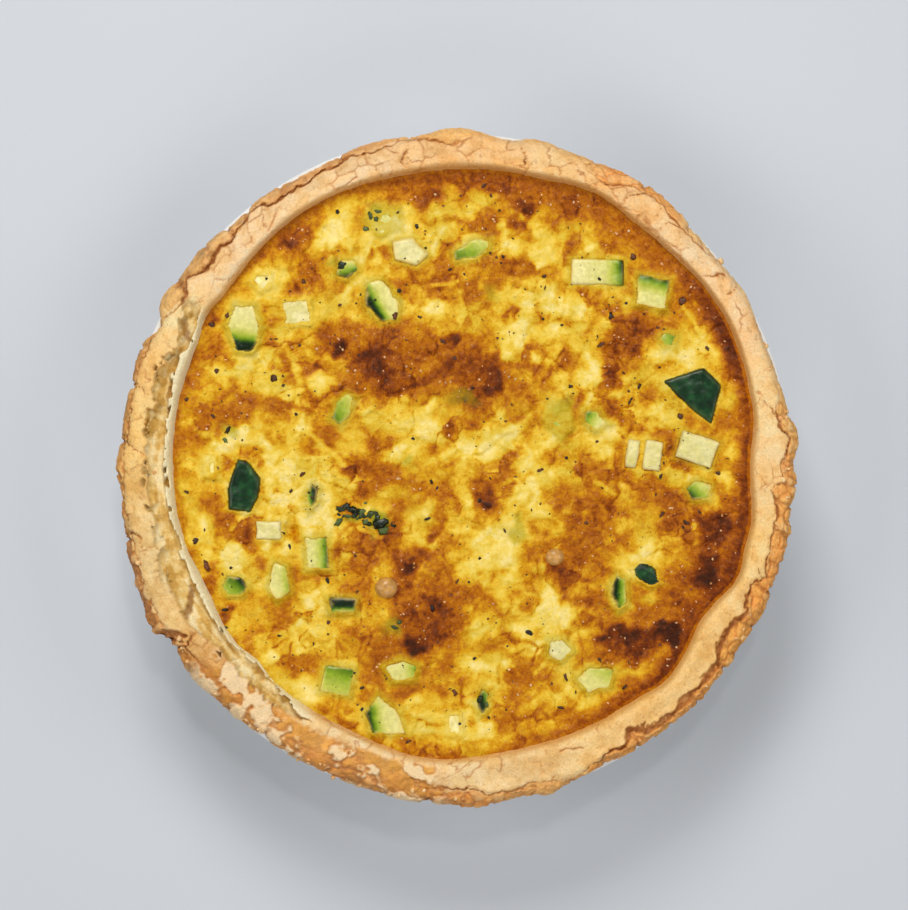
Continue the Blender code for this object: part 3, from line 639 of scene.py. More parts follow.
# Short cracks across the plates, each a run of degrees, radius in mm and depth in mm
SHORT_CRACKS = [
    [(5.5, 74.2, 0.7), (8, 72.4, 0.6), (10, 71.0, 0.6), (12.5, 69.5, 0.3)],
    [(33, 74.4, 0.5), (32.7, 72.2, 0.8), (32.8, 71.6, 0.3)],
    [(36, 73.4, 0.6), (37, 71.2, 0.8), (37.8, 69.2, 0.4)],
    [(47, 73.4, 0.6), (49.3, 71.6, 0.6), (50, 68.4, 0.5)],
    [(52, 73.8, 0.5), (51.8, 71.6, 0.5)],
    [(55.5, 74.4, 0.7), (57, 72.0, 0.8), (58, 70.2, 0.5)],
    [(79, 73.0, 0.3), (77.6, 71.2, 0.6), (77.5, 69.5, 1.0), (77.7, 68.0, 0.4)],
    [(99, 73.2, 0.5), (99.5, 71.2, 0.7), (100.6, 69.4, 0.7), (100, 67.9, 0.3)],
    [(101, 71.8, 0.4), (103.5, 73.2, 0.6)],
    [(146.3, 74.6, 0.6), (147.6, 72.0, 1.0), (149.6, 72.1, 1.0)],
    [(165.5, 76.6, 0.9), (166, 73.0, 0.7), (166.5, 70.6, 0.5)],
    [(174.6, 76.0, 0.7), (176, 73.6, 0.9), (177.3, 70.8, 0.6)],
    [(191.8, 77.0, 0.9), (191.5, 74.4, 1.0), (192.6, 72.6, 0.6), (196, 72.9, 0.3)],
    [(209.6, 77.0, 1.6), (210.2, 74.4, 2.6), (211.6, 71.8, 1.4)],
    [(212.4, 75.4, 1.2), (213.2, 73.0, 1.2), (212.6, 70.0, 0.6)],
    [(223.5, 72.2, 0.6), (225.2, 71.0, 0.7), (226, 69.0, 0.3)],
    [(233, 75.6, 0.7), (232.6, 72.2, 1.4), (233.4, 69.6, 1.5), (233.6, 66.2, 0.9)],
    [(245, 71.6, 0.6), (247, 69.7, 0.5), (249, 70.6, 0.3)],
    [(245, 65.0, 0.5), (247, 66.6, 0.7), (248, 67.2, 0.6), (249, 65.8, 0.4)],
    [(281, 73.6, 0.5), (281.6, 72.4, 0.4)],
    [(286.5, 73.6, 0.5), (287.5, 72.4, 0.3)],
    [(290, 67.5, 0.4), (292, 67.9, 0.6), (293, 67.5, 0.6), (294.6, 68.4, 0.4)],
    [(297, 66.8, 0.4), (298, 66.5, 0.6), (298.4, 65.4, 0.4)],
    [(305, 72.0, 1.2), (306.6, 69.6, 0.4)],
    [(340, 72.6, 0.6), (341, 71.2, 0.7), (342.2, 69.8, 0.4)],
    [(348.6, 66.2, 0.4), (349.2, 67.0, 0.5), (350.3, 68.0, 0.3)],
    [(342.6, 68.5, 0.3), (345, 68.1, 0.4)],
]
# Valleys between the lumps outside the long crack: degrees and depth in mm
LUMP_VALLEYS = [
    (1, 0.5), (9, 0.4), (15, 0.2), (25, 0.3), (34, 0.4), (46, 0.5), (56.5, 0.8), (66, 0.3), (73, 0.3),
    (83, 0.5), (98.5, 0.5), (111, 0.4), (122.5, 0.6), (129.5, 0.6), (134, 0.8), (139.3, 0.7), (146.6, 0.9),
    (155, 1.2), (159.3, 0.5), (165.5, 1.0), (175.3, 0.8), (181.5, 0.6), (192, 0.9), (201, 0.3),
    (211, 1.6), (217, 0.4), (226.5, 0.5), (234, 0.8), (241, 0.4), (247, 0.5), (253, 0.4), (259, 0.5),
    (265, 0.5), (276, 0.5), (283, 0.5), (290, 0.6), (296.5, 0.6), (303, 0.8), (309, 0.4), (315.5, 0.5),
    (323, 0.6), (331.5, 0.6), (338.6, 0.9), (343, 0.5), (348, 0.5), (353.5, 0.5), (357, 0.5),
]
print("cracks:", len(SHORT_CRACKS), "short ones and one of", len(LONG_CRACK), "turns")

# %% [markdown]
# A ball has the right make-up for a bowl: pushed in from the top, its upper rings become the
# floor and the inner wall, its middle rings the rim, and its lower rings the underside. It stays
# closed, and every ring runs round the case. The ball is a fine sheet, rolled up and welded at its
# seam and poles. Most of its rings are spent on the rim, because that is what shows.
# %% Turn a ball into the case
CASE_SIDES = 1500
CASE_RINGS = 64
FIRST_RIM_RING = 4
LAST_RIM_RING = 52
UNDERSIDE_RING = 58
HIGHEST = 38.3

let_go()
bpy.ops.mesh.primitive_grid_add(x_subdivisions=CASE_SIDES, y_subdivisions=CASE_RINGS, size=2.0)
case = bpy.context.object
sheet = points_of(case) * MM
around, down = (sheet[:, 0] + 1.0) * math.pi, (1.0 - sheet[:, 1]) * math.pi / 2.0
ball = np.stack([np.sin(down) * np.cos(around), np.sin(down) * np.sin(around), np.cos(down)], axis=1)
set_points(case, ball / MM)
bpy.ops.object.mode_set(mode="EDIT")
close_up(0.00001)

ball = points_of(case) * MM
ring = np.rint(np.degrees(np.arccos(np.clip(ball[:, 2], -1.0, 1.0))) / (180.0 / CASE_RINGS)).astype(int)
degrees = np.degrees(np.arctan2(ball[:, 1], ball[:, 0])) % 360.0
inner, outer = inner_edge(degrees), outer_edge(degrees)


def rim_profile(degrees, part):
    """Height in mm of the smooth rim; part goes from 0 at the custard to 1 at the outside."""
    around = np.stack([np.cos(np.radians(degrees)), np.sin(np.radians(degrees)), part], axis=1)
    crest = CREST_HEIGHT - 0.25 + 0.3 * waves(around * 40.0, 10.0, 3)
    rising = EDGE_HEIGHT + (crest - EDGE_HEIGHT) * (1.0 - (1.0 - np.minimum(part, 0.5) / 0.5) ** 9.0)
    falling = (crest - OUTER_EDGE_HEIGHT) * (np.maximum(part - 0.5, 0.0) / 0.5) ** 4.2
    return rising - falling


part = np.clip((ring - FIRST_RIM_RING) / (LAST_RIM_RING - FIRST_RIM_RING), 0.0, 1.0)
radius = inner + (outer - inner) * part
height = rim_profile(degrees, part)
low_wall = DISH_FLOOR + 2.4
wall_low = inner_foot + (inner_rim - inner_foot) * 0.02
# Radius and height in mm of the rings that lie inside, outside and below the rim
hidden = {
    0: (0.0, FLOOR_TOP),
    1: (case_inside(degrees, FLOOR_TOP), FLOOR_TOP),
    2: (case_inside(degrees, 22.0), 22.0),
    3: (case_inside(degrees, 32.0), 32.0),
    53: (outer + 0.05, OUTER_EDGE_HEIGHT - 0.45),
    54: (outer, OUTER_EDGE_HEIGHT - 0.9),
    55: (outer - 0.15, OUTER_EDGE_HEIGHT - 1.4),
    56: (outer - 0.45, OUTER_EDGE_HEIGHT - 1.85),
    57: (outer - 0.9, OUTER_EDGE_HEIGHT - 2.15),
    UNDERSIDE_RING: (outer - 1.6, DISH_HEIGHT + GAP),
    59: (inner_rim + 1.6, DISH_HEIGHT + GAP),
    60: (inner_rim + 0.6, DISH_HEIGHT + GAP),
    61: (inner_rim - 0.8, DISH_HEIGHT - 0.9),
    62: (wall_low - 0.9, low_wall),
    63: (inner_foot - 2.9, DISH_FLOOR + GAP),
    64: (0.0, DISH_FLOOR + GAP),
}
for number, (ring_radius, ring_height) in hidden.items():
    radius = np.where(ring == number, ring_radius, radius)
    height = np.where(ring == number, ring_height, height)
print("rings on the rim:", LAST_RIM_RING - FIRST_RIM_RING + 1)

# %% [markdown]
# Now the tears. Each point of the rim learns how far it lies from the cracks and on which side
# of the long one. Chance moves the point a little before it is measured, so the cracks come out
# ragged. The amount of crack, groove and lump is kept, because the colour follows it.
# %% Tear the rim open
angle = np.radians(degrees)
base = np.stack([radius * np.cos(angle), radius * np.sin(angle), height], axis=1)
on_rim = (ring >= FIRST_RIM_RING - 1) & (ring <= UNDERSIDE_RING)
shown = base[on_rim]
d, r, row = degrees[on_rim], radius[on_rim], ring[on_rim]
share = part[on_rim]
ragged, ragged_side = [
    0.4 * waves(shown, 3.4, one) + 0.42 * waves(shown, 1.5, two) + 0.34 * waves(shown, 0.7, three)
    for one, two, three in ((66, 1, 2), (67, 4, 5))]
x = shown[:, 0] + ragged
y = shown[:, 1] + ragged_side
warped = shown + 0.35 * np.stack([ragged, ragged_side, ragged], axis=1)


def polar_line(turns):
    """Turns degrees and radius into x and y, and keeps the depth."""
    return [(radius * math.cos(math.radians(a)), radius * math.sin(math.radians(a)), depth)
            for a, radius, depth in turns]


crack_cut = crack_tone = crack_halo = lift = np.zeros(len(shown))
widens = 0.45 + 0.85 * rise(waves(shown, 3.2, 62), -0.5, 0.5)
closed_long = LONG_CRACK + [LONG_CRACK[0]]
for turns, half in [(closed_long, 0.33)] + [(turns, 0.24) for turns in SHORT_CRACKS]:
    away, depth = from_line(x, y, polar_line(turns))
    half_width = half * (0.3 + 0.6 * depth + 0.5 * depth ** 3) * widens
    cut = 1.0 - rise(away, 0.25 * half_width, 1.15 * half_width)
    crack_cut = np.maximum(crack_cut, np.minimum(depth, 1.3) * cut)
    crack_tone = np.maximum(crack_tone, cut * np.clip(0.15 + depth, 0.0, 1.0))
    crack_halo = np.maximum(crack_halo, np.clip(depth, 0.0, 1.0) * np.exp(-((away / 0.8) ** 2)))
    lift = np.maximum(lift, 0.14 * np.clip(depth, 0.0, 1.0) * np.exp(-(((away - 0.9) / 0.45) ** 2)))

long_radius = round_the_rim(d, LONG_CRACK)
beyond = rise(r + ragged, long_radius - 0.1, long_radius + 0.4)
# On the lower left the whole fold is broken into puffy flakes
puffy = rise(d, 214.0, 220.0) * (1.0 - rise(d, 264.0, 270.0))
beyond = np.maximum(beyond, puffy * rise(r + ragged, 66.0, 67.5))
crack_cut, crack_tone, crack_halo = [
    amount * (1.0 - 0.75 * puffy) for amount in (crack_cut, crack_tone, crack_halo)]
valley = np.zeros(len(shown))
for at, depth in LUMP_VALLEYS:
    across = np.radians((d - at + 180.0) % 360.0 - 180.0) * r + ragged_side * 1.4
    valley = np.maximum(valley, depth * (1.0 - rise(np.abs(across), 0.15, 0.95)))
valley *= rise(r, long_radius - 0.4, long_radius + 1.0)

# %% [markdown]
# On the left the fold has split into a groove between a thin pale lip and the browned roll. Both
# its edges are read round the rim too, and crazed cells break them into flakes. The floor of the
# groove is flaky along its length, as rolled dough is.
# %% Open the flaky groove
opened = rise(d, GROOVE_START, GROOVE_START + 4.0) * (1.0 - rise(d, GROOVE_END - 9.0, GROOVE_END))
# Degrees and radius in mm of the two edges
LIP_EDGE = [(147, 67.4), (152, 66.2), (156, 65.4), (158, 67.0), (164, 66.4), (167, 65.6), (175, 65.4),
            (181, 65.2), (190, 64.8), (200, 64.4), (211, 64.0), (217, 64.0), (222, 63.2), (226, 62.8),
            (231, 63.6), (236, 64.8), (243, 65.6)]
ROLL_EDGE = [(147, 70.2), (149, 71.4), (151, 70.2), (153, 69.8), (155, 68.2), (158, 68.6), (160, 70.2),
             (163, 71.0), (165, 70.8), (167, 69.2), (171, 69.9), (173, 70.6), (176, 70.2), (180, 69.9),
             (184, 70.2), (190, 69.6), (195, 69.0), (199, 70.0), (205, 70.4), (207, 70.2), (210, 69.2),
             (214, 68.0), (217, 66.6), (219, 67.6), (222, 67.2), (226, 67.0), (230, 67.4), (234, 66.6),
             (243, 66.0)]
# The holes in it, which get painted shade: degrees, radius in mm and depth in mm
HOLES = [
    [(204.5, 65.8, 0.9), (206, 66.6, 1.4), (208, 68.6, 1.3), (209, 70.2, 0.7)],
    [(151.6, 69.8, 0.7), (153.4, 68.4, 0.9), (154.6, 66.8, 1.0), (155.0, 66.0, 0.6)],
    [(147.6, 71.4, 0.6), (149.6, 71.2, 0.7)],
    [(164.8, 66.8, 0.7), (166.2, 66.4, 0.5)],
    [(225, 64.0, 0.7), (227, 64.6, 0.5)],
]
flake_value, _ = cells(warped, 1.9, 6)
lip = np.interp(d, *zip(*LIP_EDGE)) + 0.3 + 0.5 * flake_value + 0.35 * ragged
roll = np.interp(d, *zip(*ROLL_EDGE)) + 1.0 * flake_value + 0.5 * ragged
groove = opened * rise(r, lip - 0.12, lip + 0.22) * (1.0 - rise(r, roll - 0.22, roll + 0.12))
along_flakes = np.stack([r / 0.6, d * 0.28, 0.0 * d], axis=1)
flaky = waves(along_flakes, 1.0, 6) + 0.5 * waves(shown, 0.8, 18)
across_groove = (r - lip) / np.maximum(roll - lip, 0.5)
groove_floor = GROOVE_FLOOR + 0.4 + 0.25 * flaky + 1.6 * rise(across_groove, 0.5, 1.1)
pocket = np.zeros(len(shown))
for turns in HOLES:
    away, depth = from_line(x, y, polar_line(turns))
    pocket = np.maximum(pocket, depth * (1.0 - rise(away, 0.3, 1.0)))

# %% [markdown]
# Last comes the grain of the crust. Outside the crack it is crazed into lumps of three
# millimetres and crumbs of one, more on the sides that baked hardest. The plates stay almost
# flat, with hairlines between them and a few pores. All of it is added up and moves the points.
# %% Crumble the crust
# Degrees and how crumbly the outside is there, from 0 to 1
CRUMBLY = [
    (0, 0.9), (8, 0.8), (20, 0.45), (35, 0.4), (50, 0.7), (62, 0.8), (75, 0.35), (92, 0.35), (105, 0.5),
    (120, 0.6), (135, 0.4), (150, 0.35), (162, 0.5), (175, 0.45), (190, 0.6), (205, 0.85), (215, 0.9),
    (232, 0.8), (250, 0.8), (265, 1.0), (282, 0.5), (298, 0.8), (310, 1.0), (335, 0.9), (350, 1.0),
]
# Degrees and how crazed the plates are there, from 0 to 1
CRAZED = [
    (0, 0.3), (15, 0.4), (28, 0.9), (45, 1.0), (62, 1.0), (76, 0.5), (90, 0.7), (105, 0.8), (120, 0.5),
    (140, 0.6), (160, 0.5), (180, 0.5), (205, 0.5), (215, 0.9), (232, 1.0), (252, 1.0), (266, 0.8),
    (280, 0.3), (300, 0.2), (322, 0.1), (342, 0.2),
]
crumbly = round_the_rim(d, CRUMBLY)
crazed = round_the_rim(d, CRAZED)
lump_value, lump_border = cells(warped, 3.6, 1)
crumb_value, crumb_border = cells(warped, 1.5, 2)
crease = 1.0 - rise(lump_border, 0.05, 0.6)
crumb_crease = 1.0 - rise(crumb_border, 0.0, 0.32)
plate_value, plate_border = cells(warped + 0.6 * ragged[:, None], 5.2, 3)
hairline = (1.0 - rise(plate_border, 0.06, 0.26 + 0.24 * crazed)) * (1.0 - beyond)
hairline *= rise(crazed + 0.9 * waves(shown, 5.0, 17), 0.45, 0.9)
pores = rise(waves(shown, 0.62, 19), 0.66, 0.8) * (1.0 - 0.5 * beyond)
fine = waves(shown, 0.7, 7)
swell = 0.25 * waves(shown, 6.0, 8) + 0.13 * waves(shown, 2.4, 9)
rough = crumbly * (0.28 * lump_value - 0.32 * crease + 0.2 * crumb_value - 0.2 * crumb_crease) + 0.13 * fine
flake_field = waves(warped, 4.8, 63) + 0.45 * waves(warped, 1.9, 64) + 0.2 * waves(warped, 0.8, 65)
puffed = puffy * rise(flake_field, -0.12, 0.06)
flake_edge = puffy * np.exp(-(((flake_field + 0.14) / 0.07) ** 2))
rough = rough * (1.0 - 0.5 * puffy) + 0.5 * puffed - 0.3 * flake_edge
flat_plates = 0.05 * fine + 0.08 * waves(shown, 1.5, 10) + 0.2 * crazed * plate_value
flat_plates -= 0.3 * hairline + 0.14 * pores
relief = swell + beyond * rough + (1.0 - beyond) * flat_plates + lift - crack_cut - valley
relief *= rise(r - inner[on_rim], -0.2, 1.6)

z = shown[:, 2] + np.where(row >= FIRST_RIM_RING, relief, 0.0)
z = z * (1.0 - groove) + np.minimum(z, groove_floor - 0.7 * pocket) * groove
z = np.clip(z, DISH_HEIGHT + GAP + 0.2, HIGHEST)
z = np.where((row > LAST_RIM_RING) | (row < FIRST_RIM_RING), shown[:, 2], z)
# On the outer face the same relief pushes sideways
side = rise(share, 0.8, 1.0) * (row < UNDERSIDE_RING)
push = side * np.clip(relief, -1.1, 0.4) * 0.8
shaped = base.copy()
shaped[on_rim] = np.stack([shown[:, 0] + push * np.cos(np.radians(d)),
                           shown[:, 1] + push * np.sin(np.radians(d)), z], axis=1)
set_points(case, shaped)
print("rim height in mm:", round(float(z.min()), 2), "to", round(float(z.max()), 2))

# %% [markdown]
# The colour of baked crust comes from heat: thin and high edges brown first, plates stay pale,
# and torn insides are dull gold. Two tables hold the colour of the plates and of the browned
# outside by angle.
# %% Tones round the rim
PLATE_TONES = [
    (0, "#F3C888"), (12, "#F5D090"), (24, "#EFBE80"), (38, "#F5CE98"), (48, "#F1C488"), (60, "#EFBA76"),
    (72, "#F2C888"), (80, "#E9B878"), (92, "#EAB97A"), (104, "#EDC48C"), (120, "#F2CC94"), (135, "#F3CE9A"),
    (146, "#F0C88C"), (152, "#F5D290"), (160, "#EABE76"), (172, "#ECC070"), (182, "#E8BC70"),
    (195, "#EAC888"), (205, "#E4BC78"), (214, "#E0B068"), (224, "#E4BA7C"), (232, "#EDC990"),
    (242, "#F2D29A"), (252, "#F2D098"), (262, "#EBC68C"), (272, "#EBC88A"), (284, "#EBC486"),
    (296, "#F0C680"), (306, "#ECBE74"), (316, "#E8BA70"), (326, "#EABC72"), (334, "#F0C884"),
    (346, "#F0C67C"),
]
OUTSIDE_TONES = [
    (0, "#E5A356"), (8, "#EDB872"), (20, "#EBBA80"), (32, "#EFC894"), (44, "#EFC590"), (50, "#DB9A54"),
    (56, "#DF9F58"), (63, "#CE8A48"), (70, "#EDC088"), (80, "#E9B87C"), (92, "#E4B070"), (104, "#DEA268"),
    (118, "#DFA468"), (128, "#E5AE70"), (136, "#EBBA7E"), (143, "#E2A968"), (151, "#E9B674"),
    (161, "#DB9C56"), (171, "#DDA25E"), (180, "#D99E56"), (188, "#CE8C4C"), (196, "#C47E40"),
    (206, "#B87432"), (214, "#CA8638"), (222, "#C88434"), (230, "#D08C3C"), (240, "#C48038"),
    (250, "#C68038"), (261, "#B67A32"), (270, "#BE7E38"), (278, "#D8A060"), (287, "#DBA466"),
    (295, "#D8984C"), (304, "#DE9C54"), (316, "#DF9D56"), (325, "#E2A04E"), (335, "#E19E4C"),
    (345, "#DF9A50"), (354, "#E5A85E"),
]
# Colour of torn dough by how far it stands out
TORN_TONES = [(-1.1, "#C99C48"), (-0.5, "#DAB25E"), (0.0, "#E6C67E"), (0.5, "#F0D89C"), (1.1, "#FAE9B8")]


def layered(tones, layers):
    """Lays colours over each other, each with the share that it covers."""
    for text, share in layers:
        tones = blend(tones, linear(text), share)
    return tones


def no_brighter(tones, limit):
    """Dims the colours that pass a limit, and keeps their hue."""
    return tones / np.maximum(tones.max(axis=1) / limit, 1.0)[:, None]


def tones_round_the_rim(degrees, table):
    """Reads a colour from a table by angle, and closes the circle."""
    rows = [(at, *linear(text)) for at, text in table]
    return np.stack([round_the_rim(degrees, rows, column) for column in (1, 2, 3)], axis=1)


plate_tone = tones_round_the_rim(d + 4.0 * waves(shown, 5.0, 12), PLATE_TONES)
outside_tone = tones_round_the_rim(d + 3.0 * waves(shown, 4.0, 13), OUTSIDE_TONES)
print("mean tone of the plates and of the outside:", plate_tone.mean(axis=0).round(2),
      outside_tone.mean(axis=0).round(2))

# %% [markdown]
# The plates get a soft mottling, and then their hairlines and pores. The outside is laid over
# them from the long crack outwards. It is browned by angle and lifted by painted light, most on
# the right and least on the left, creamy on the tops of some lumps, darkened by painted shade in
# the creases, and on the lower left it is covered with pale flakes.
# %% Colour the plates and the outside
mottle = waves(shown, 3.4, 14) + 0.7 * waves(shown, 1.4, 15) + 0.4 * waves(shown, 0.6, 21)
crust = blend(plate_tone, plate_tone * (0.86, 0.74, 0.54), rise(mottle, 0.1, 0.7) * 0.7)
crust = blend(crust, np.minimum(plate_tone * (1.06, 1.14, 1.34), 0.9), rise(-mottle, 0.1, 0.6) * 0.8)
crust = crust * (1.03 + 0.17 * crazed * plate_value + 0.05 * fine)[:, None]
crust = layered(crust, [("#B06C30", hairline * 0.7), ("#A4682A", pores * 0.4)])

# Painted light: the outside is made lighter by angle, most on the right and least on the left, against the
# shade on its steep face
painted_light_by_angle = 1.40 + 0.48 * np.cos(np.radians(d + 15.0))
browned = outside_tone * (painted_light_by_angle + 0.24 * lump_value + 0.14 * crumb_value + 0.1 * fine)[:, None]
browned = browned * (1.0, 1.0, 0.8)
near_rim = rise(r, 69.5, 72.0)
browned = blend(browned, browned * (1.05, 1.16, 0.78), puffy * (1.0 - near_rim))
browned = blend(browned, browned * (0.94, 0.92, 0.55), puffy * near_rim)
browned = no_brighter(browned, 0.93)
cream = rise(lump_value + 0.5 * crumb_value + 0.3 * mottle, 0.35, 1.0) * (0.3 + 0.3 * crumbly)
browned = blend(browned, np.minimum(plate_tone * (1.04, 1.08, 1.2), 0.9), cream)
# Painted shade in the creases between the lumps and crumbs
painted_crease_shade = crumbly * (1.0 - 0.6 * puffy) * np.clip(0.7 * crease + 0.4 * crumb_crease, 0.0, 1.0)
browned = blend(browned, browned * (0.62, 0.42, 0.22), painted_crease_shade)
browned = blend(browned, browned * (0.88, 0.68, 0.42), rise(waves(shown, 2.2, 16), 0.1, 0.6) * 0.6)
browned = blend(browned, linear("#F8E2B6") * (1.0 + 0.12 * mottle)[:, None], 0.75 * puffed)
browned = blend(browned, linear("#A8662A"), 0.75 * flake_edge)
crust = blend(crust, browned, np.clip(beyond * 0.9, 0.0, 1.0))
print("share of the rim that lies beyond the long crack:", round(float(beyond.mean()), 2))

# %% [markdown]
# Now the torn places: the halo and the floor of each crack, the valleys, and the dull gold inside
# of the groove with its pale lip, a painted shadow just beyond the lip, and holes darkened with
# painted shade. The face above the custard is lifted by painted light, most on the upper side,
# and turns golden at its foot, where the custard wets it.
# %% Colour the cracks and the groove
crust = layered(crust, [
    ("#CF8C42", np.clip(crack_halo * 0.35, 0.0, 0.45)),
    ("#C07C38", rise(crack_tone, 0.08, 0.5) * 0.8),
    ("#93541C", rise(crack_tone + 0.35 * fine + 0.2 * mottle, 0.6, 1.1) * 0.8),
    ("#AC6A2E", np.clip(valley * 0.75, 0.0, 0.7)),
])

torn = colours_between(flaky + 0.5 * mottle + 0.6 * flake_value, TORN_TONES)
crust = blend(crust, torn, groove)
crust = layered(crust, [
    # Painted shadow of the lip on the groove just beyond it
    ("#A5802C", groove * (1.0 - rise(r, lip + 0.1, lip + 1.0)) * 0.5),
    # Painted shade in the holes
    ("#A06E30", np.clip(pocket, 0.0, 1.0) * groove * 0.8),
    ("#FFF0C2", opened * (1.0 - rise(r, lip - 0.2, lip + 0.2))),
])
# Painted light on the inner face above the custard, strongest on the upper side of the rim, where that face
# is turned away from the window
painted_light_on_inner_face = (1.0 - rise(r - inner[on_rim], 0.8, 3.4)) * (0.6 + 0.4 * np.sin(np.radians(d))) * (1.0 - opened)
crust = crust * (1.0 + 0.2 * painted_light_on_inner_face)[:, None]
crust = no_brighter(crust, 0.9)
golden_foot = 1.0 - rise(r - inner[on_rim] + 0.2 * mottle, 0.1, 0.9)
crust = layered(crust, [("#E6A038", golden_foot * (1.0 - opened) * 0.5), ("#C0843C", (row > 54) * 0.6)])

tone = np.tile(linear("#E0B878"), (len(base), 1))
tone[on_rim] = np.clip(crust, 0.0, 1.0)
paint(case, "crust", tone)
print("mean colour of the crust:", tone[on_rim].mean(axis=0).round(2))

# %% [markdown]
# Baked shortcrust: flour and butter, dry and open-grained, with no gloss apart from a faint
# sheen of fat. That gives a soft matt surface with fine grain. The grain is about half a
# millimetre, which is as fine as this view can show.
# %% Bake the crust
CRUST_GRAIN = 0.45

baked_crust, tree, shader = new_material("baked_shortcrust", 0.6, 1.45)
where = put(tree, "ShaderNodeTexCoord").outputs["Object"]
tint = put(tree, "ShaderNodeAttribute", attribute_name="crust")
grain = put(tree, "ShaderNodeTexNoise", {
    "Vector": where, "Scale": 1.0 / (CRUST_GRAIN * MM), "Detail": 3.0, "Roughness": 0.65})
shade = put(tree, "ShaderNodeMapRange", {
    "Value": grain.outputs["Fac"], "From Min": 0.3, "From Max": 0.7, "To Min": 0.82, "To Max": 1.1})
toned = put(tree, "ShaderNodeMix", {
    MIX_SHARE: 1.0, MIX_FIRST: tint.outputs["Color"], MIX_SECOND: shade.outputs["Result"]},
    data_type="RGBA", blend_type="MULTIPLY")
tree.links.new(toned.outputs[MIX_RESULT], shader.inputs["Base Color"])
dry = put(tree, "ShaderNodeMapRange", {
    "Value": grain.outputs["Fac"], "From Min": 0.3, "From Max": 0.7, "To Min": 0.5, "To Max": 0.72})
tree.links.new(dry.outputs["Result"], shader.inputs["Roughness"])
open_grain = put(tree, "ShaderNodeBump", {
    "Height": grain.outputs["Fac"], "Strength": 0.8, "Distance": 0.3 * MM})
tree.links.new(open_grain.outputs["Normal"], shader.inputs["Normal"])
finish_piece(case, "pastry", baked_crust, ["pastry_case"])

# %% [markdown]
# ## The custard
# Egg and cream set to a soft skin that swells, sinks and browns. Its top is a fine square grid
# bent to a disc, so that its cells stay about as large at the edge as in the middle. The rim of
# the grid is then pulled down inside the pastry and closed below.
# %% Bend a grid to the custard's top
CUSTARD_CELLS = 308
CUSTARD_LEVEL = 34.4
TUCKED_UNDER_CRUST = 0.35
CUSTARD_BOTTOM = FLOOR_TOP + GAP

let_go()
bpy.ops.mesh.primitive_grid_add(x_subdivisions=CUSTARD_CELLS, y_subdivisions=CUSTARD_CELLS, size=2.0)
custard = bpy.context.object
square = points_of(custard) * MM
wide = np.abs(square[:, 0]) >= np.abs(square[:, 1])
longer = np.where(wide, square[:, 0], square[:, 1])
slant = np.where(wide, square[:, 1], square[:, 0]) / np.where(np.abs(longer) < 1e-9, 1.0, longer)
turned = np.where(wide, math.pi / 4.0 * slant, math.pi / 2.0 - math.pi / 4.0 * slant)
turned = turned + np.where(longer < 0.0, math.pi, 0.0)
top_degrees = np.degrees(turned) % 360.0
reach = np.abs(longer) * (inner_edge(top_degrees) + TUCKED_UNDER_CRUST)
flat = np.stack([reach * np.cos(turned), reach * np.sin(turned), np.full(len(reach), CUSTARD_LEVEL)], axis=1)
set_points(custard, flat)

bpy.ops.object.mode_set(mode="EDIT")
bpy.ops.mesh.select_mode(type="EDGE")
bpy.ops.mesh.select_all(action="SELECT")
bpy.ops.mesh.region_to_loop()
SIDE_LEVELS = [31.0, 22.0, CUSTARD_BOTTOM]
for before, after in zip([CUSTARD_LEVEL] + SIDE_LEVELS, SIDE_LEVELS):
    bpy.ops.mesh.extrude_region_move(TRANSFORM_OT_translate={"value": (0.0, 0.0, (after - before) * MM)})
bpy.ops.mesh.edge_face_add()
bpy.ops.mesh.select_all(action="SELECT")
bpy.ops.mesh.normals_make_consistent(inside=False)
bpy.ops.object.mode_set(mode="OBJECT")
whole = points_of(custard)
print("custard points:", len(whole), "of which on top:", len(flat))
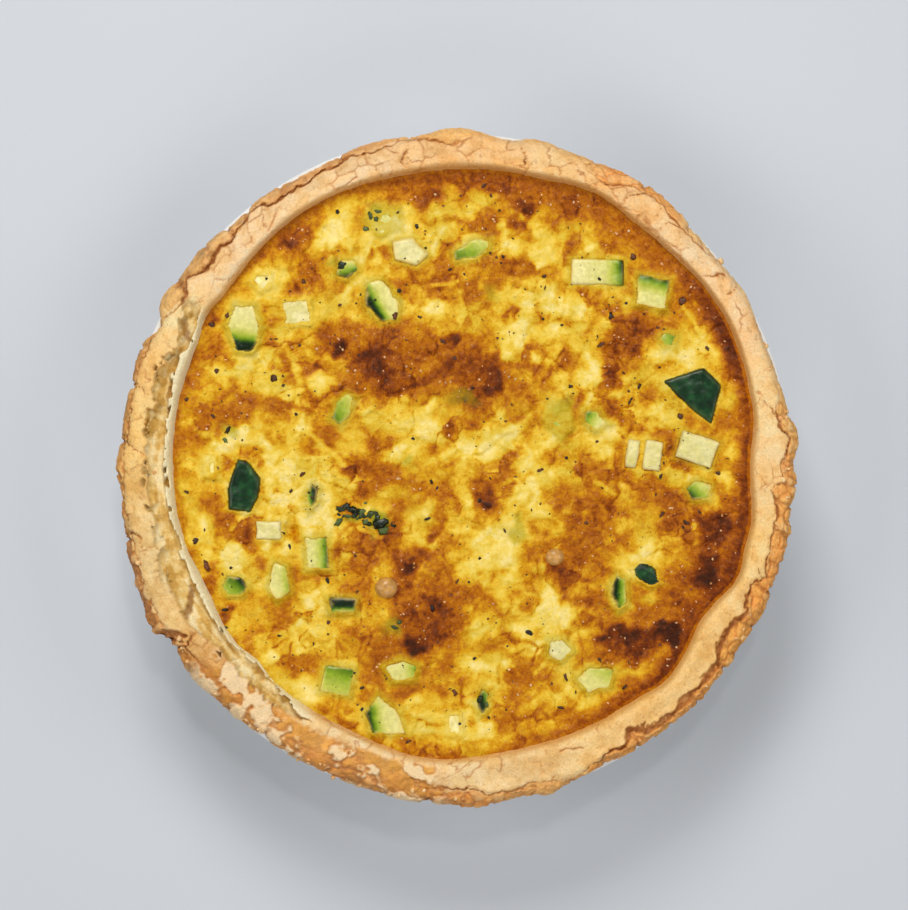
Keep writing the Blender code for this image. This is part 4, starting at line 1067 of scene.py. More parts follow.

# %% [markdown]
# The browning is a map with one number for each point, from pale at 0 to burnt at 1. Ovals mark
# where the skin blistered or stayed pale, and a table gives the dark ring along the crust. The
# same number later drives the colour. Further on it also takes thin lines of painted shadow
# beside the chunks.
# %% Where the custard browned
# x, y, half length, half width in mm, turn in degrees, browning that the middle reaches
BROWNED = [
    (-37.6, 51.3, 4.6, 4.2, 0, 0.72), (-37.4, 51.0, 2.2, 1.8, 0, 0.86), (-7.4, 59.8, 5.6, 3.0, 5, 0.74),
    (13.9, 58.7, 3.2, 2.6, 0, 0.78), (12.8, 53.7, 3.8, 2.2, -20, 0.66), (13.9, 45.2, 5.0, 2.8, 0, 0.62),
    (-4.0, 43.0, 3.6, 4.2, 0, 0.62), (-27.0, 28.4, 5.6, 4.6, 0, 0.66), (-26.4, 27.3, 2.8, 2.7, 0, 0.93),
    (-2.9, 28.4, 2.2, 2.0, 0, 0.80), (-6.0, 22.0, 19.0, 7.5, -8, 0.60), (-18.6, 22.8, 5.6, 4.4, -20, 0.78),
    (-17.2, 22.0, 2.8, 2.0, -20, 0.88), (2.0, 21.5, 9.0, 5.0, -14, 0.72), (8.6, 20.8, 3.0, 4.0, 0, 0.80),
    (3.0, 14.8, 3.8, 3.6, 0, 0.70), (38.5, 29.6, 6.0, 4.6, 10, 0.74), (36.3, 22.8, 5.0, 3.6, 0, 0.55),
    (14.0, 15.0, 5.0, 7.0, 0, 0.54), (-43.9, 12.8, 8.4, 2.6, 0, 0.58), (-54.9, 27.3, 2.0, 1.8, 0, 0.64),
    (6.0, -5.1, 4.2, 5.0, 0, 0.66), (5.0, -7.2, 1.3, 1.3, 0, 0.86), (27.3, -11.9, 5.2, 7.6, 8, 0.66),
    (22.0, -21.0, 6.0, 5.4, 0, 0.66), (21.7, -21.9, 2.8, 2.6, 0, 0.84), (57.0, -13.0, 5.4, 6.0, 0, 0.78),
    (55.3, -23.0, 5.6, 6.4, 10, 0.80), (56.5, -25.0, 2.6, 2.4, 0, 0.92), (40.7, -39.2, 9.6, 4.4, 8, 0.82),
    (46.3, -37.6, 3.4, 2.8, 0, 0.98), (35.0, -37.0, 3.0, 2.4, 0, 0.84), (-10.3, -21.3, 6.8, 2.4, 0, 0.82),
    (-8.0, -28.0, 9.0, 8.0, 0, 0.60), (-7.4, -35.4, 8.2, 6.0, 0, 0.72), (-9.6, -39.9, 3.4, 3.0, 0, 0.90),
    (-13.0, -26.0, 5.0, 4.0, 0, 0.68), (13.9, -47.7, 5.0, 3.0, 0, 0.60), (-44.3, -38.7, 5.0, 2.6, 10, 0.48),
    (-27.1, -54.4, 3.6, 2.6, 0, 0.52), (-5.8, -14.6, 2.0, 3.2, 0, 0.70), (-47.7, -15.2, 2.4, 2.0, 0, 0.62),
    (-54.4, -27.5, 2.2, 2.6, 0, 0.66), (-52.2, -32.0, 2.0, 2.0, 0, 0.66), (31.0, -32.0, 4.0, 3.0, 0, 0.62),
    (48.0, -30.0, 5.0, 5.0, 0, 0.64), (31.0, -2.0, 4.0, 4.0, 0, 0.55), (-58.5, 8.0, 2.4, 4.0, 0, 0.52),
]
# The same for the places that stayed pale
PALE = [
    (-10.7, 7.2, 6.4, 6.8, 0, 0.14), (9.4, 5.5, 5.0, 3.2, 0, 0.12), (18.4, 29.6, 5.0, 6.0, 0, 0.10),
    (20.6, 48.6, 3.0, 4.6, 0, 0.14), (29.0, 27.3, 4.2, 12.0, 0, 0.14), (3.1, -22.0, 4.4, 2.8, 0, 0.10),
    (13.4, -41.0, 3.0, 2.0, 0, 0.14), (5.5, 59.2, 3.4, 3.2, 0, 0.16), (-28.7, 53.1, 4.4, 3.6, 0, 0.12),
    (-50.0, -22.5, 2.8, 2.2, 0, 0.14), (6.0, -37.6, 4.0, 3.6, 0, 0.22), (-37.0, -47.7, 3.4, 3.0, 0, 0.24),
    (-24.0, 5.0, 4.0, 4.0, 0, 0.14), (-45.0, 24.0, 5.0, 4.0, 0, 0.16), (-30.0, 20.0, 4.0, 3.0, 0, 0.2),
    (20.0, 5.0, 4.0, 4.0, 0, 0.2), (46.0, 12.0, 4.0, 3.0, 0, 0.2), (-18.0, -10.0, 4.0, 3.0, 0, 0.16),
    (36.0, -20.0, 3.4, 3.4, 0, 0.2), (-30.0, -38.0, 5.0, 4.0, 0, 0.18), (-8.0, -54.0, 5.0, 3.0, 0, 0.2),
    (-44.0, 18.5, 6.0, 3.4, 0, 0.18), (-47.0, -35.0, 6.0, 5.0, 0, 0.24), (-23.0, -43.0, 5.0, 5.0, 0, 0.26),
    (-30.0, 34.0, 6.0, 3.0, 0, 0.3), (-52.0, 38.0, 4.0, 4.0, 0, 0.22), (17.0, -35.0, 6.0, 4.0, 0, 0.22),
    (25.0, -46.0, 5.0, 4.0, 0, 0.24), (27.0, 20.0, 6.0, 4.0, 0, 0.2), (7.0, -45.0, 5.0, 3.4, 0, 0.24),
    (-57.0, -3.0, 3.0, 5.0, 0, 0.3), (-54.0, 17.0, 4.0, 5.0, 0, 0.26),
    (-36.0, -50.0, 6.0, 4.0, -40, 0.26), (-6.0, -60.0, 8.0, 3.0, 0, 0.28), (-52.0, -28.0, 4.0, 5.0, 0, 0.3),
    (-41.0, 43.0, 5.0, 4.0, 0, 0.24), (-17.0, 11.0, 6.0, 3.0, 0, 0.18), (-43.0, -43.0, 12.0, 3.6, -45, 0.28),
    (2.0, -60.5, 12.0, 3.2, 0, 0.3), (-20.5, -57.0, 9.0, 3.2, -20, 0.28), (-58.0, -16.0, 9.0, 3.0, 105, 0.34),
]
# Degrees, browning and width in mm of the ring along the crust
EDGE_RING = [
    (0, 0.78, 4.4), (12, 0.74, 4.2), (26, 0.82, 4.8), (34, 0.74, 5.6), (45, 0.64, 8.6), (58, 0.63, 8.4),
    (70, 0.64, 7.4), (80, 0.68, 5.4), (90, 0.70, 5.0), (100, 0.68, 3.6), (112, 0.58, 2.8), (125, 0.66, 3.2),
    (140, 0.56, 2.8), (150, 0.48, 2.4), (162, 0.54, 2.4), (170, 0.62, 2.4), (180, 0.54, 2.2),
    (195, 0.50, 2.0), (210, 0.36, 1.8), (225, 0.28, 1.6), (245, 0.28, 1.8), (262, 0.32, 2.0),
    (275, 0.44, 2.2), (290, 0.60, 2.8), (305, 0.72, 4.0), (318, 0.78, 4.8), (330, 0.74, 4.6),
    (342, 0.80, 5.0), (352, 0.78, 4.8),
]
# Where courgette skin or herbs lie just under the skin: x, y, half length, half width, strength
GREEN_STAINS = [
    (-17.9, 57.5, 4.0, 2.5, 0.6), (-26.5, 46.0, 2.5, 2.0, 0.5), (-18.6, -13.0, 2.8, 2.6, 0.9),
    (-24.0, -10.7, 4.0, 1.6, 0.6), (22.8, 11.6, 2.6, 4.0, 0.5), (-15.2, -35.4, 2.6, 2.6, 0.5),
    (7.2, 38.5, 2.0, 3.0, 0.35), (12.8, -14.1, 1.5, 4.0, 0.4), (-10.7, 1.6, 1.6, 1.6, 0.45),
    (-51.7, 7.2, 2.4, 2.4, 0.5), (1.0, 15.0, 3.6, 2.6, 0.4),
]
print("browned places:", len(BROWNED), "and pale ones:", len(PALE))

# %% [markdown]
# Chunks of courgette and onion show through the skin as pale blocks with straight edges. The
# larger ones have their places from a list. Chance adds smaller ones, and shreds, because such
# bits lie every way. Two stamps with soft edges, a block and an oval, mark all this on the map.
# %% Chunks and stamps
# x, y, half length, half width in mm, turn in degrees, browning
CHUNKS = [
    (24.8, 35.9, 3.9, 3.0, 0, 0.16), (13.0, 28.9, 5.7, 2.5, 80, 0.14), (30.9, 15.9, 4.8, 2.0, 84, 0.12),
    (19.1, 47.2, 3.0, 2.4, 20, 0.14), (46.1, 25.4, 3.0, 1.7, 10, 0.22), (-37.9, 25.4, 5.0, 1.0, -62, 0.14),
    (-30.9, 17.6, 4.0, 2.0, -60, 0.12), (-40.5, 21.1, 3.0, 2.0, 50, 0.18), (-42.2, -3.6, 3.5, 1.5, 85, 0.14),
    (-56.1, -13.2, 4.0, 2.2, 80, 0.16), (-50.0, -20.2, 3.0, 3.0, 30, 0.18), (-40.5, -40.2, 5.0, 3.6, 15, 0.2),
    (-4.3, -57.7, 6.6, 2.5, 0, 0.16), (7.8, -21.4, 3.4, 2.4, 35, 0.14), (14.8, -38.0, 5.0, 1.5, -35, 0.12),
    (20.8, -52.8, 4.0, 2.8, 15, 0.18), (4.3, -59.8, 4.0, 1.8, 10, 0.16), (-21.0, 49.0, 4.0, 1.6, 70, 0.12),
    (-26.0, 52.0, 4.4, 1.6, -50, 0.14), (-6.0, 8.0, 3.4, 2.4, -20, 0.12), (8.5, 3.5, 4.2, 2.0, 25, 0.14),
    (-24.0, -3.0, 3.4, 2.2, 10, 0.14), (-47.0, 24.0, 3.2, 1.6, 60, 0.16), (36.0, 18.0, 3.0, 1.6, 70, 0.16),
    (34.0, 8.0, 2.6, 2.0, 80, 0.16), (-14.0, 3.0, 3.0, 1.8, 60, 0.14), (1.0, -30.0, 3.0, 1.8, -30, 0.2),
]
MORE_CHUNKS = 44
SHREDS = 240
# Radius in mm within which chance lays things
OPEN_RADIUS = 60.0


def random_place(chance, reach):
    """A place in a disc of a radius in mm, every part of it as likely."""
    away, turn = reach * math.sqrt(chance.random()), chance.uniform(0.0, math.tau)
    return away * math.cos(turn), away * math.sin(turn)


def turned_to(x, y, at_x, at_y, turned_by):
    """Places as seen from the middle of a shape that lies turned by some degrees."""
    c, s = math.cos(math.radians(turned_by)), math.sin(math.radians(turned_by))
    return (x - at_x) * c + (y - at_y) * s, (y - at_y) * c - (x - at_x) * s


def block(x, y, at_x, at_y, half_long, half_wide, turned_by):
    """1 inside a rectangle and 0 outside, with a narrow edge."""
    along, across = turned_to(x, y, at_x, at_y, turned_by)
    return 1.0 - rise(np.maximum(np.abs(along) - half_long, np.abs(across) - half_wide), -0.9, 0.6)


def oval(x, y, at_x, at_y, half_long, half_wide, turned_by=0.0, wider=1.0):
    """1 in the middle of an oval and 0 from its edge outwards, with a soft slope between."""
    along, across = turned_to(x, y, at_x, at_y, turned_by)
    return 1.0 - rise(np.hypot(along / (half_long * wider), across / (half_wide * wider)), 0.35, 1.25)


# %% [markdown]
# The map starts from soft hills of chance. Curdled parts fall into chunks of about four
# millimetres with darker seams. Then the pale ovals and the browned ones are stamped on it, each
# browned one inside a golden halo. Chance moves the map a little first, so no oval stays clean.
# %% Brown the custard
strayed_x = flat[:, 0] + 2.2 * waves(flat, 5.0, 21) + 1.1 * waves(flat, 1.8, 22)
strayed_y = flat[:, 1] + 2.2 * waves(flat, 5.0, 23) + 1.1 * waves(flat, 1.8, 24)
browning_and_painted_shadow = 0.46 + 0.30 * waves(flat, 8.5, 25) + 0.27 * waves(flat, 3.6, 26)
browning_and_painted_shadow += 0.12 * waves(flat, 1.7, 27) + 0.05 * waves(flat, 0.9, 28)
browning_and_painted_shadow = np.where(browning_and_painted_shadow > 0.56, 0.56 + 0.35 * (browning_and_painted_shadow - 0.56), browning_and_painted_shadow)

bent = flat + np.stack([waves(flat, 2.4, 52), waves(flat, 2.4, 53), np.zeros(len(flat))], axis=1)
chunk_value, chunk_border = cells(bent, 4.4, 4)
seam = 1.0 - rise(chunk_border, 0.05, 0.6)
curdled = rise(waves(flat, 9.0, 51), -0.35, 0.25)
browning_and_painted_shadow += curdled * (0.13 * chunk_value + 0.12 * seam)

for *shape, tone in PALE:
    share = oval(strayed_x, strayed_y, *shape)
    browning_and_painted_shadow += (tone + 0.5 * (browning_and_painted_shadow - 0.45) - browning_and_painted_shadow) * 0.8 * share
uneven = 0.13 * waves(flat, 2.4, 29) + 0.08 * waves(flat, 1.0, 54)
for *shape, tone in BROWNED:
    halo = oval(strayed_x, strayed_y, *shape, wider=1.4)
    browning_and_painted_shadow = np.maximum(browning_and_painted_shadow, browning_and_painted_shadow + (min(tone, 0.56) + uneven - browning_and_painted_shadow) * halo * 0.7)
for *shape, tone in BROWNED:
    share = oval(strayed_x, strayed_y, *shape)
    browning_and_painted_shadow = np.maximum(browning_and_painted_shadow, browning_and_painted_shadow + (tone + uneven - browning_and_painted_shadow) * share)
print("browning, tenth to ninth tenth:", np.percentile(browning_and_painted_shadow, [10, 50, 90]).round(2))

# %% [markdown]
# Chunks and shreds come next. A chunk is paler than the skin round it, has a thin line of painted
# shadow below and to its right, and stands out a little. They show in the pale parts most,
# because browning hides them.
# %% Lay the chunks and shreds
near_x = flat[:, 0] + 0.6 * waves(flat, 2.2, 55) + 0.25 * waves(flat, 1.0, 57)
near_y = flat[:, 1] + 0.6 * waves(flat, 2.2, 56) + 0.25 * waves(flat, 1.0, 58)
patchy = np.clip(0.8 + 0.35 * waves(flat, 2.2, 59), 0.3, 1.0)
chance = np.random.default_rng(12)
for _ in range(MORE_CHUNKS):
    place = random_place(chance, OPEN_RADIUS)
    half_long, half_wide = chance.uniform(1.6, 3.4), chance.uniform(1.2, 2.2)
    lies, tone = chance.uniform(0.0, 180.0), chance.uniform(0.12, 0.24)
    CHUNKS.append((*place, half_long, half_wide, lies, tone))
raised = np.zeros(len(flat))
still_pale = 1.0 - rise(browning_and_painted_shadow, 0.5, 0.64)
for at_x, at_y, half_long, half_wide, turned_by, tone in CHUNKS:
    share = block(near_x, near_y, at_x, at_y, half_long, half_wide, turned_by)
    # Painted shadow: a thin darker line below and to the right of each chunk, on the side away from the
    # window
    below = block(near_x, near_y, at_x + 0.4, at_y - 0.6, half_long, half_wide, turned_by)
    browning_and_painted_shadow += 0.14 * np.clip(below - share, 0.0, 1.0) * still_pale
    share *= patchy * (0.15 + 0.85 * still_pale)
    browning_and_painted_shadow += (tone + 0.35 * (browning_and_painted_shadow - 0.45) - browning_and_painted_shadow) * share * 0.85
    raised = np.maximum(raised, share)
# Shreds of cheese and onion lie every way in the pale parts
chance = np.random.default_rng(9)
for _ in range(SHREDS):
    place = random_place(chance, OPEN_RADIUS)
    half_long, half_wide = chance.uniform(1.2, 3.4), chance.uniform(0.4, 1.2)
    tone, lies = chance.choice([-0.26, -0.18, 0.13]), chance.uniform(0.0, 180.0)
    share = block(near_x, near_y, *place, half_long, half_wide, lies)
    share *= 1.0 - rise(browning_and_painted_shadow, 0.5, 0.62)
    browning_and_painted_shadow += tone * share
    raised = np.maximum(raised, 0.8 * share)
print("chunks:", len(CHUNKS), "and shreds:", SHREDS)

# %% [markdown]
# Last come the ring along the hot crust, a little more contrast in the deepest browns, and green
# stains where skin or herbs lie just under the surface.
# %% Ring and stains
from_edge = inner_edge(top_degrees) - reach
ring_tone = round_the_rim(top_degrees, EDGE_RING, 1)
ring_width = round_the_rim(top_degrees, EDGE_RING, 2)
ring_share = 1.0 - rise(from_edge + 1.3 * waves(flat, 3.5, 30), 0.3 * ring_width, 1.2 * ring_width)
browning_and_painted_shadow = np.maximum(browning_and_painted_shadow, browning_and_painted_shadow + (ring_tone + 0.4 * uneven - browning_and_painted_shadow) * ring_share)
browning_and_painted_shadow = np.where(browning_and_painted_shadow > 0.7, 0.7 + 1.25 * (browning_and_painted_shadow - 0.7), browning_and_painted_shadow)
browning_and_painted_shadow = np.where(from_edge < 0.6, np.minimum(browning_and_painted_shadow, 0.62), browning_and_painted_shadow)
herb = np.zeros(len(flat))
for *shape, strength in GREEN_STAINS:
    share = oval(strayed_x, strayed_y, *shape)
    herb = np.maximum(herb, strength * share)
greenish = rise(waves(flat, 6.0, 60) + 0.5 * waves(flat, 2.0, 61), 0.0, 0.9)
herb = np.maximum(herb, 0.14 * greenish * (1.0 - rise(browning_and_painted_shadow, 0.4, 0.6)))
print("browning, quarter points:", np.percentile(browning_and_painted_shadow, [10, 25, 50, 75, 90]).round(2))

# %% [markdown]
# The skin follows the swells of the solid. On top of that it is curdled: soft hills a few
# millimetres wide, fine blisters where it browned, and strands and shreds of cheese that stand
# out a little.
# %% Height of the skin
# x, y, radius and height in mm of the large swells and hollows
SWELLS = [
    (-6, 23, 17, 0.7), (38, 28, 9, 0.5), (25, -8, 10, 0.5), (52, -20, 11, 0.6), (42, -39, 11, 0.6),
    (-7, -34, 10, 0.6), (-38, 50, 8, 0.5), (-58, 8, 8, 0.4), (11, 58, 9, 0.5), (-45, 10, 9, 0.4),
    (3, 3, 11, -0.5), (-25, -16, 9, -0.4), (14, 30, 9, -0.4), (-36, -38, 10, -0.4), (15, -50, 9, -0.4),
]
# One open pit: x, y, radius and depth in mm
PIT = (-37.3, -14.2, 1.6, 1.8)
# Both ends in mm of the cheese strands that show best, and their half width
STRANDS = [
    (-35.4, 9.4, -25.3, 0.4, 0.7), (-38.7, 27.3, -35.4, 19.5, 0.7), (-19.3, 50.2, -17.5, 45.9, 0.6),
    (50.8, 36.3, 57.5, 25.1, 0.6), (-12.4, 10.2, -6.4, 12.6, 0.7), (5.0, 7.6, 12.4, 4.2, 0.6),
]
MORE_STRANDS = 8


def skin_level(x, y):
    """Height in mm of the custard before its fine relief."""
    degrees = np.degrees(np.arctan2(y, x)) % 360.0
    level = CUSTARD_LEVEL + 0.3 * (1.0 - rise(inner_edge(degrees) - np.hypot(x, y), 0.0, 4.0))
    for at_x, at_y, radius, height in SWELLS:
        level = level + height * np.exp(-(((x - at_x) ** 2 + (y - at_y) ** 2) / radius ** 2))
    pit_away = ((x - PIT[0]) ** 2 + (y - PIT[1]) ** 2) / PIT[2] ** 2
    return level - PIT[3] * np.exp(-pit_away)


browner = rise(browning_and_painted_shadow, 0.5, 0.8)
curds = 0.30 * waves(flat, 4.2, 31) + 0.26 * waves(flat, 1.9, 32) + 0.15 * waves(flat, 0.95, 33)
chunks = curdled * (0.22 * chunk_value - 0.2 * seam)
blisters = browner * (0.22 * (lumps(flat, 2.4, 3) - 0.45) + 0.06 * waves(flat, 0.9, 34))
level = skin_level(flat[:, 0], flat[:, 1]) + curds + chunks + blisters + 0.34 * raised

chance = np.random.default_rng(5)
for _ in range(MORE_STRANDS):
    x0, y0 = random_place(chance, 55.0)
    length, lies = chance.uniform(2.5, 6.0), chance.uniform(0.0, math.pi)
    STRANDS.append((x0, y0, x0 + length * math.cos(lies), y0 + length * math.sin(lies), 0.5))
along_x, along_y = flat[:, 0] + 0.5 * waves(flat, 3.0, 35), flat[:, 1] + 0.5 * waves(flat, 3.0, 36)
for x0, y0, x1, y1, half_width in STRANDS:
    away, _ = from_line(along_x, along_y, [(x0, y0, 0.0), (x1, y1, 0.0)])
    share = 1.0 - rise(away, 0.4 * half_width, 1.3 * half_width)
    browning_and_painted_shadow += (0.14 - browning_and_painted_shadow) * share * 0.5
    level += 0.16 * share

# %% [markdown]
# At each cube the skin climbs its side and laps over its edge as a thin film. Some cubes stay
# clean, and some are almost covered. Inside the film the skin drops away under the piece, so
# that the piece's own surface shows there.
# %% Lap the skin over the cubes
# How much of a cube's height the skin climbs, and how far in mm the film laps over its edge
CLIMB, LAP = 0.8, 0.4
# Cubes that the film leaves clean, with their climb, and cubes with a wider lap
CLEAN = {"13": 0.55, "14": 0.4, "15": 0.4, "16": 0.4, "23": 0.65, "10": 0.35, "01": 0.35, "25": 0.35}
COVERED = {
    "02": 2.6, "17": 3.4, "34": 0.9, "35": 1.6, "36": 0.6, "06": 1.6, "07": 0.9, "26": 0.6, "31": 0.8,
    "18": 0.7, "12": 0.8, "05": 0.7,
}
EDGE_LIMIT = 34.95
seen_flat = flat * (1.0, 1.0, 0.0)
bend_x, bend_y = waves(seen_flat, 3.4, 45), waves(seen_flat, 3.4, 46)
lap_edge = waves(flat, 2.6, 48) + 0.3 * waves(flat, 0.9, 49)
for number, corners in outlines.items():
    middle = corners.mean(axis=0)
    near = np.hypot(flat[:, 0] - middle[0], flat[:, 1] - middle[1]) < np.ptp(corners, axis=0).max() + 2.0
    wander = CRISP_WANDER if number in CRISP else WANDER
    px, py = flat[near, 0] - wander * bend_x[near], flat[near, 1] - wander * bend_y[near]
    away = beyond_outline(px, py, corners)
    top_here = tops[number][0] + tops[number][1] * px + tops[number][2] * py
    skin_here = level[near]
    climb = CLEAN.get(number, CLIMB) * np.exp(-((np.maximum(away, 0.0) / 0.65) ** 2))
    risen = skin_here + np.maximum(top_here - 0.05 - skin_here, 0.0) * climb
    lap = 0.0 if number in CLEAN else COVERED.get(number, LAP)
    lapped = (away > -lap - 0.4 * lap_edge[near]) & (lap > 0.0)
    inside = np.where(lapped, top_here + 0.1, np.minimum(skin_here, top_here - 0.9))
    level[near] = np.where(away > 0.0, risen, inside)
    green = 0.32 if number in SKIN_SIDE else 0.08
    pale_near = 0.85 * np.exp(-((np.maximum(away, 0.0) / 1.0) ** 2))
    film = np.where(away > 0.0, np.maximum(0.6 * climb, pale_near), lapped * 1.0)
    browning_and_painted_shadow[near] += (0.25 + 0.3 * (browning_and_painted_shadow[near] - 0.45) - browning_and_painted_shadow[near]) * film * 0.7
    herb[near] = np.maximum(herb[near], green * film)
level = np.where(from_edge < 1.2, np.minimum(level, EDGE_LIMIT), level)
whole[:len(flat), 2] = level

ring_points = (len(whole) - len(flat)) // len(SIDE_LEVELS)
for number, height in enumerate(SIDE_LEVELS):
    first = len(flat) + number * ring_points
    here = slice(first, first + ring_points)
    here_degrees = np.degrees(np.arctan2(whole[here, 1], whole[here, 0])) % 360.0
    away, around = case_inside(here_degrees, height) - 0.42, np.radians(here_degrees)
    whole[here, 0], whole[here, 1], whole[here, 2] = away * np.cos(around), away * np.sin(around), height
set_points(custard, whole)
all_browning_and_painted_shadow, herb_all = np.full(len(whole), 0.4), np.zeros(len(whole))
all_browning_and_painted_shadow[:len(flat)] = np.clip(browning_and_painted_shadow, 0.06, 1.0)
herb_all[:len(flat)] = np.clip(herb, 0.0, 1.0)
paint(custard, "browning_and_painted_shadow", all_browning_and_painted_shadow)
paint(custard, "herb", herb_all)
print("custard level in mm:", round(float(level.min()), 2), "to", round(float(level.max()), 2))

# %% [markdown]
# Baked egg custard: a moist skin with a little oil on it. Where it is pale it shows curds of
# cheese and onion; heat takes it through gold and orange to a red-brown crust. That gives the eye
# small wet glints over soft mottled colour. The mottling is about one millimetre wide.
# %% Cook the custard
CURD = 1.2
SPECK = 0.5

baked_egg, tree, shader = new_material("baked_egg_custard", 0.35, 1.38, 0.2)
where = put(tree, "ShaderNodeTexCoord").outputs["Object"]
curd = put(tree, "ShaderNodeTexNoise", {
    "Vector": where, "Scale": 1.0 / (CURD * MM), "Detail": 4.0, "Roughness": 0.6, "Distortion": 0.4})
speck = put(tree, "ShaderNodeTexNoise", {
    "Vector": where, "Scale": 1.0 / (SPECK * MM), "Detail": 2.0, "Roughness": 0.5})
# Both noises shift the browning up and down, each by its own reach
cooked = put(tree, "ShaderNodeAttribute", attribute_name="browning_and_painted_shadow").outputs["Fac"]
for pattern, reach_of_it in ((curd, 0.115), (speck, 0.06)):
    shift = put(tree, "ShaderNodeMapRange", {
        "Value": pattern.outputs["Fac"], "From Min": 0.25, "From Max": 0.75,
        "To Min": -reach_of_it, "To Max": reach_of_it})
    cooked = put(tree, "ShaderNodeMath", {0: cooked, 1: shift.outputs["Result"]}, operation="ADD").outputs[0]
ramp = put(tree, "ShaderNodeValToRGB", {"Fac": cooked})
COOKED_TONES = [
    (0.00, "#F2DC8E"), (0.10, "#EDD26C"), (0.22, "#E7C546"), (0.33, "#DFB22A"), (0.44, "#D0960F"),
    (0.54, "#BD7606"), (0.63, "#A85C02"), (0.72, "#8C4201"), (0.81, "#6E2C01"), (0.90, "#521E02"),
    (1.00, "#361002"),
]
while len(ramp.color_ramp.elements) < len(COOKED_TONES):
    ramp.color_ramp.elements.new(0.5)
for stop, (place, text) in zip(ramp.color_ramp.elements, COOKED_TONES):
    stop.position = place
    stop.color = (*linear(text), 1.0)
green = put(tree, "ShaderNodeAttribute", attribute_name="herb")
stained = put(tree, "ShaderNodeMix", {
    MIX_SHARE: green.outputs["Fac"], MIX_FIRST: ramp.outputs["Color"],
    MIX_SECOND: (*linear("#848C1C"), 1.0)}, data_type="RGBA")
tree.links.new(stained.outputs[MIX_RESULT], shader.inputs["Base Color"])
wet = put(tree, "ShaderNodeMapRange", {
    "Value": curd.outputs["Fac"], "From Min": 0.3, "From Max": 0.7, "To Min": 0.22, "To Max": 0.46})
tree.links.new(wet.outputs["Result"], shader.inputs["Roughness"])
curd_bump = put(tree, "ShaderNodeBump", {
    "Height": curd.outputs["Fac"], "Strength": 0.9, "Distance": 0.5 * MM}).outputs["Normal"]
fine_bump = put(tree, "ShaderNodeBump", {
    "Height": speck.outputs["Fac"], "Strength": 0.5, "Distance": 0.15 * MM, "Normal": curd_bump})
tree.links.new(fine_bump.outputs["Normal"], shader.inputs["Normal"])
# A thin film of oil makes small sharp glints, and the tint keeps them as warm as the skin
shader.inputs["Specular Tint"].default_value = (1.0, 0.8, 0.42, 1.0)
shader.inputs["Coat Weight"].default_value = 0.15
shader.inputs["Coat Roughness"].default_value = 0.08
tree.links.new(curd_bump, shader.inputs["Coat Normal"])
finish_piece(custard, "custard_filling", baked_egg, ["custard"])

# %% [markdown]
# ## Small things
# Pepper, scraps of courgette skin, beads of oil with painted glints, and crumbs of crust are all
# small broken lumps.
# One ball of few faces is modelled for them. Each lump is that ball, pushed out of round by
# chance, stretched, turned, and half sunk in what it lies on. All lumps of a kind become one mesh.
# %% Tools for small lumps
def small_ball(subdivisions):
    """Points and faces of a small round lump, modelled once."""
    let_go()
    bpy.ops.mesh.primitive_ico_sphere_add(subdivisions=subdivisions, radius=1.0)
    ball = bpy.context.object
    points = points_of(ball) * MM
    faces = np.array([face.vertices[:] for face in ball.data.polygons])
    bpy.data.objects.remove(ball, do_unlink=True)
    return points, faces


def joined(name, lumps_made):
    """One mesh of many lumps, each given as points, faces and a colour."""
    points, faces, tones, count = [], [], [], 0
    for lump_points, lump_faces, lump_tone in lumps_made:
        points.append(lump_points)
        faces.append(lump_faces + count)
        tones.append(np.tile(lump_tone, (len(lump_points), 1)))
        count += len(lump_points)
    mesh = bpy.data.meshes.new(name)
    mesh.from_pydata((np.concatenate(points) * MM).tolist(), [], np.concatenate(faces).tolist())
    piece = bpy.data.objects.new(name, mesh)
    bpy.context.scene.collection.objects.link(piece)
    paint(piece, "tone", np.concatenate(tones))
    return piece


def broken_lump(points, size, thinnest, flatness, rough):
    """A lump of a size in mm: out of round, drawn out one way, flatter, and turned about."""
    shape = points * (1.0 + rough * chance.uniform(-1.0, 1.0, (len(points), 1)))
    shape = shape * (0.5 * size, 0.5 * size * chance.uniform(thinnest, 0.9), 0.5 * size * flatness)
    turned_by = chance.uniform(0.0, math.tau)
    c, s = math.cos(turned_by), math.sin(turned_by)
    return shape @ np.array([[c, s, 0.0], [-s, c, 0.0], [0.0, 0.0, 1.0]])


def rests_at(x, y):
    """Height of the custard or of a courgette piece at one place."""
    for number, corners in outlines.items():
        if beyond_outline(np.array([x]), np.array([y]), corners)[0] < -0.2:
            return float(tops[number] @ (1.0, x, y))
    return float(level[np.argmin((flat[:, 0] - x) ** 2 + (flat[:, 1] - y) ** 2)])


def tinted(name, roughness, grain_size, ior):
    """A plain finish that takes its colour from the piece and adds grain of a size in mm."""
    made, tree, shader = new_material(name, roughness, ior)
    where = put(tree, "ShaderNodeTexCoord").outputs["Object"]
    tint = put(tree, "ShaderNodeAttribute", attribute_name="tone")
    grain = put(tree, "ShaderNodeTexNoise", {
        "Vector": where, "Scale": 1.0 / (grain_size * MM), "Detail": 2.0})
    shade = put(tree, "ShaderNodeMapRange", {
        "Value": grain.outputs["Fac"], "From Min": 0.3, "From Max": 0.7, "To Min": 0.7, "To Max": 1.2})
    toned = put(tree, "ShaderNodeMix", {
        MIX_SHARE: 1.0, MIX_FIRST: tint.outputs["Color"], MIX_SECOND: shade.outputs["Result"]},
        data_type="RGBA", blend_type="MULTIPLY")
    tree.links.new(toned.outputs[MIX_RESULT], shader.inputs["Base Color"])
    rough = put(tree, "ShaderNodeBump", {
        "Height": grain.outputs["Fac"], "Strength": 0.5, "Distance": 0.1 * MM})
    tree.links.new(rough.outputs["Normal"], shader.inputs["Normal"])
    return made


coarse_ball, fine_ball = small_ball(2), small_ball(1)
chance = np.random.default_rng(23)

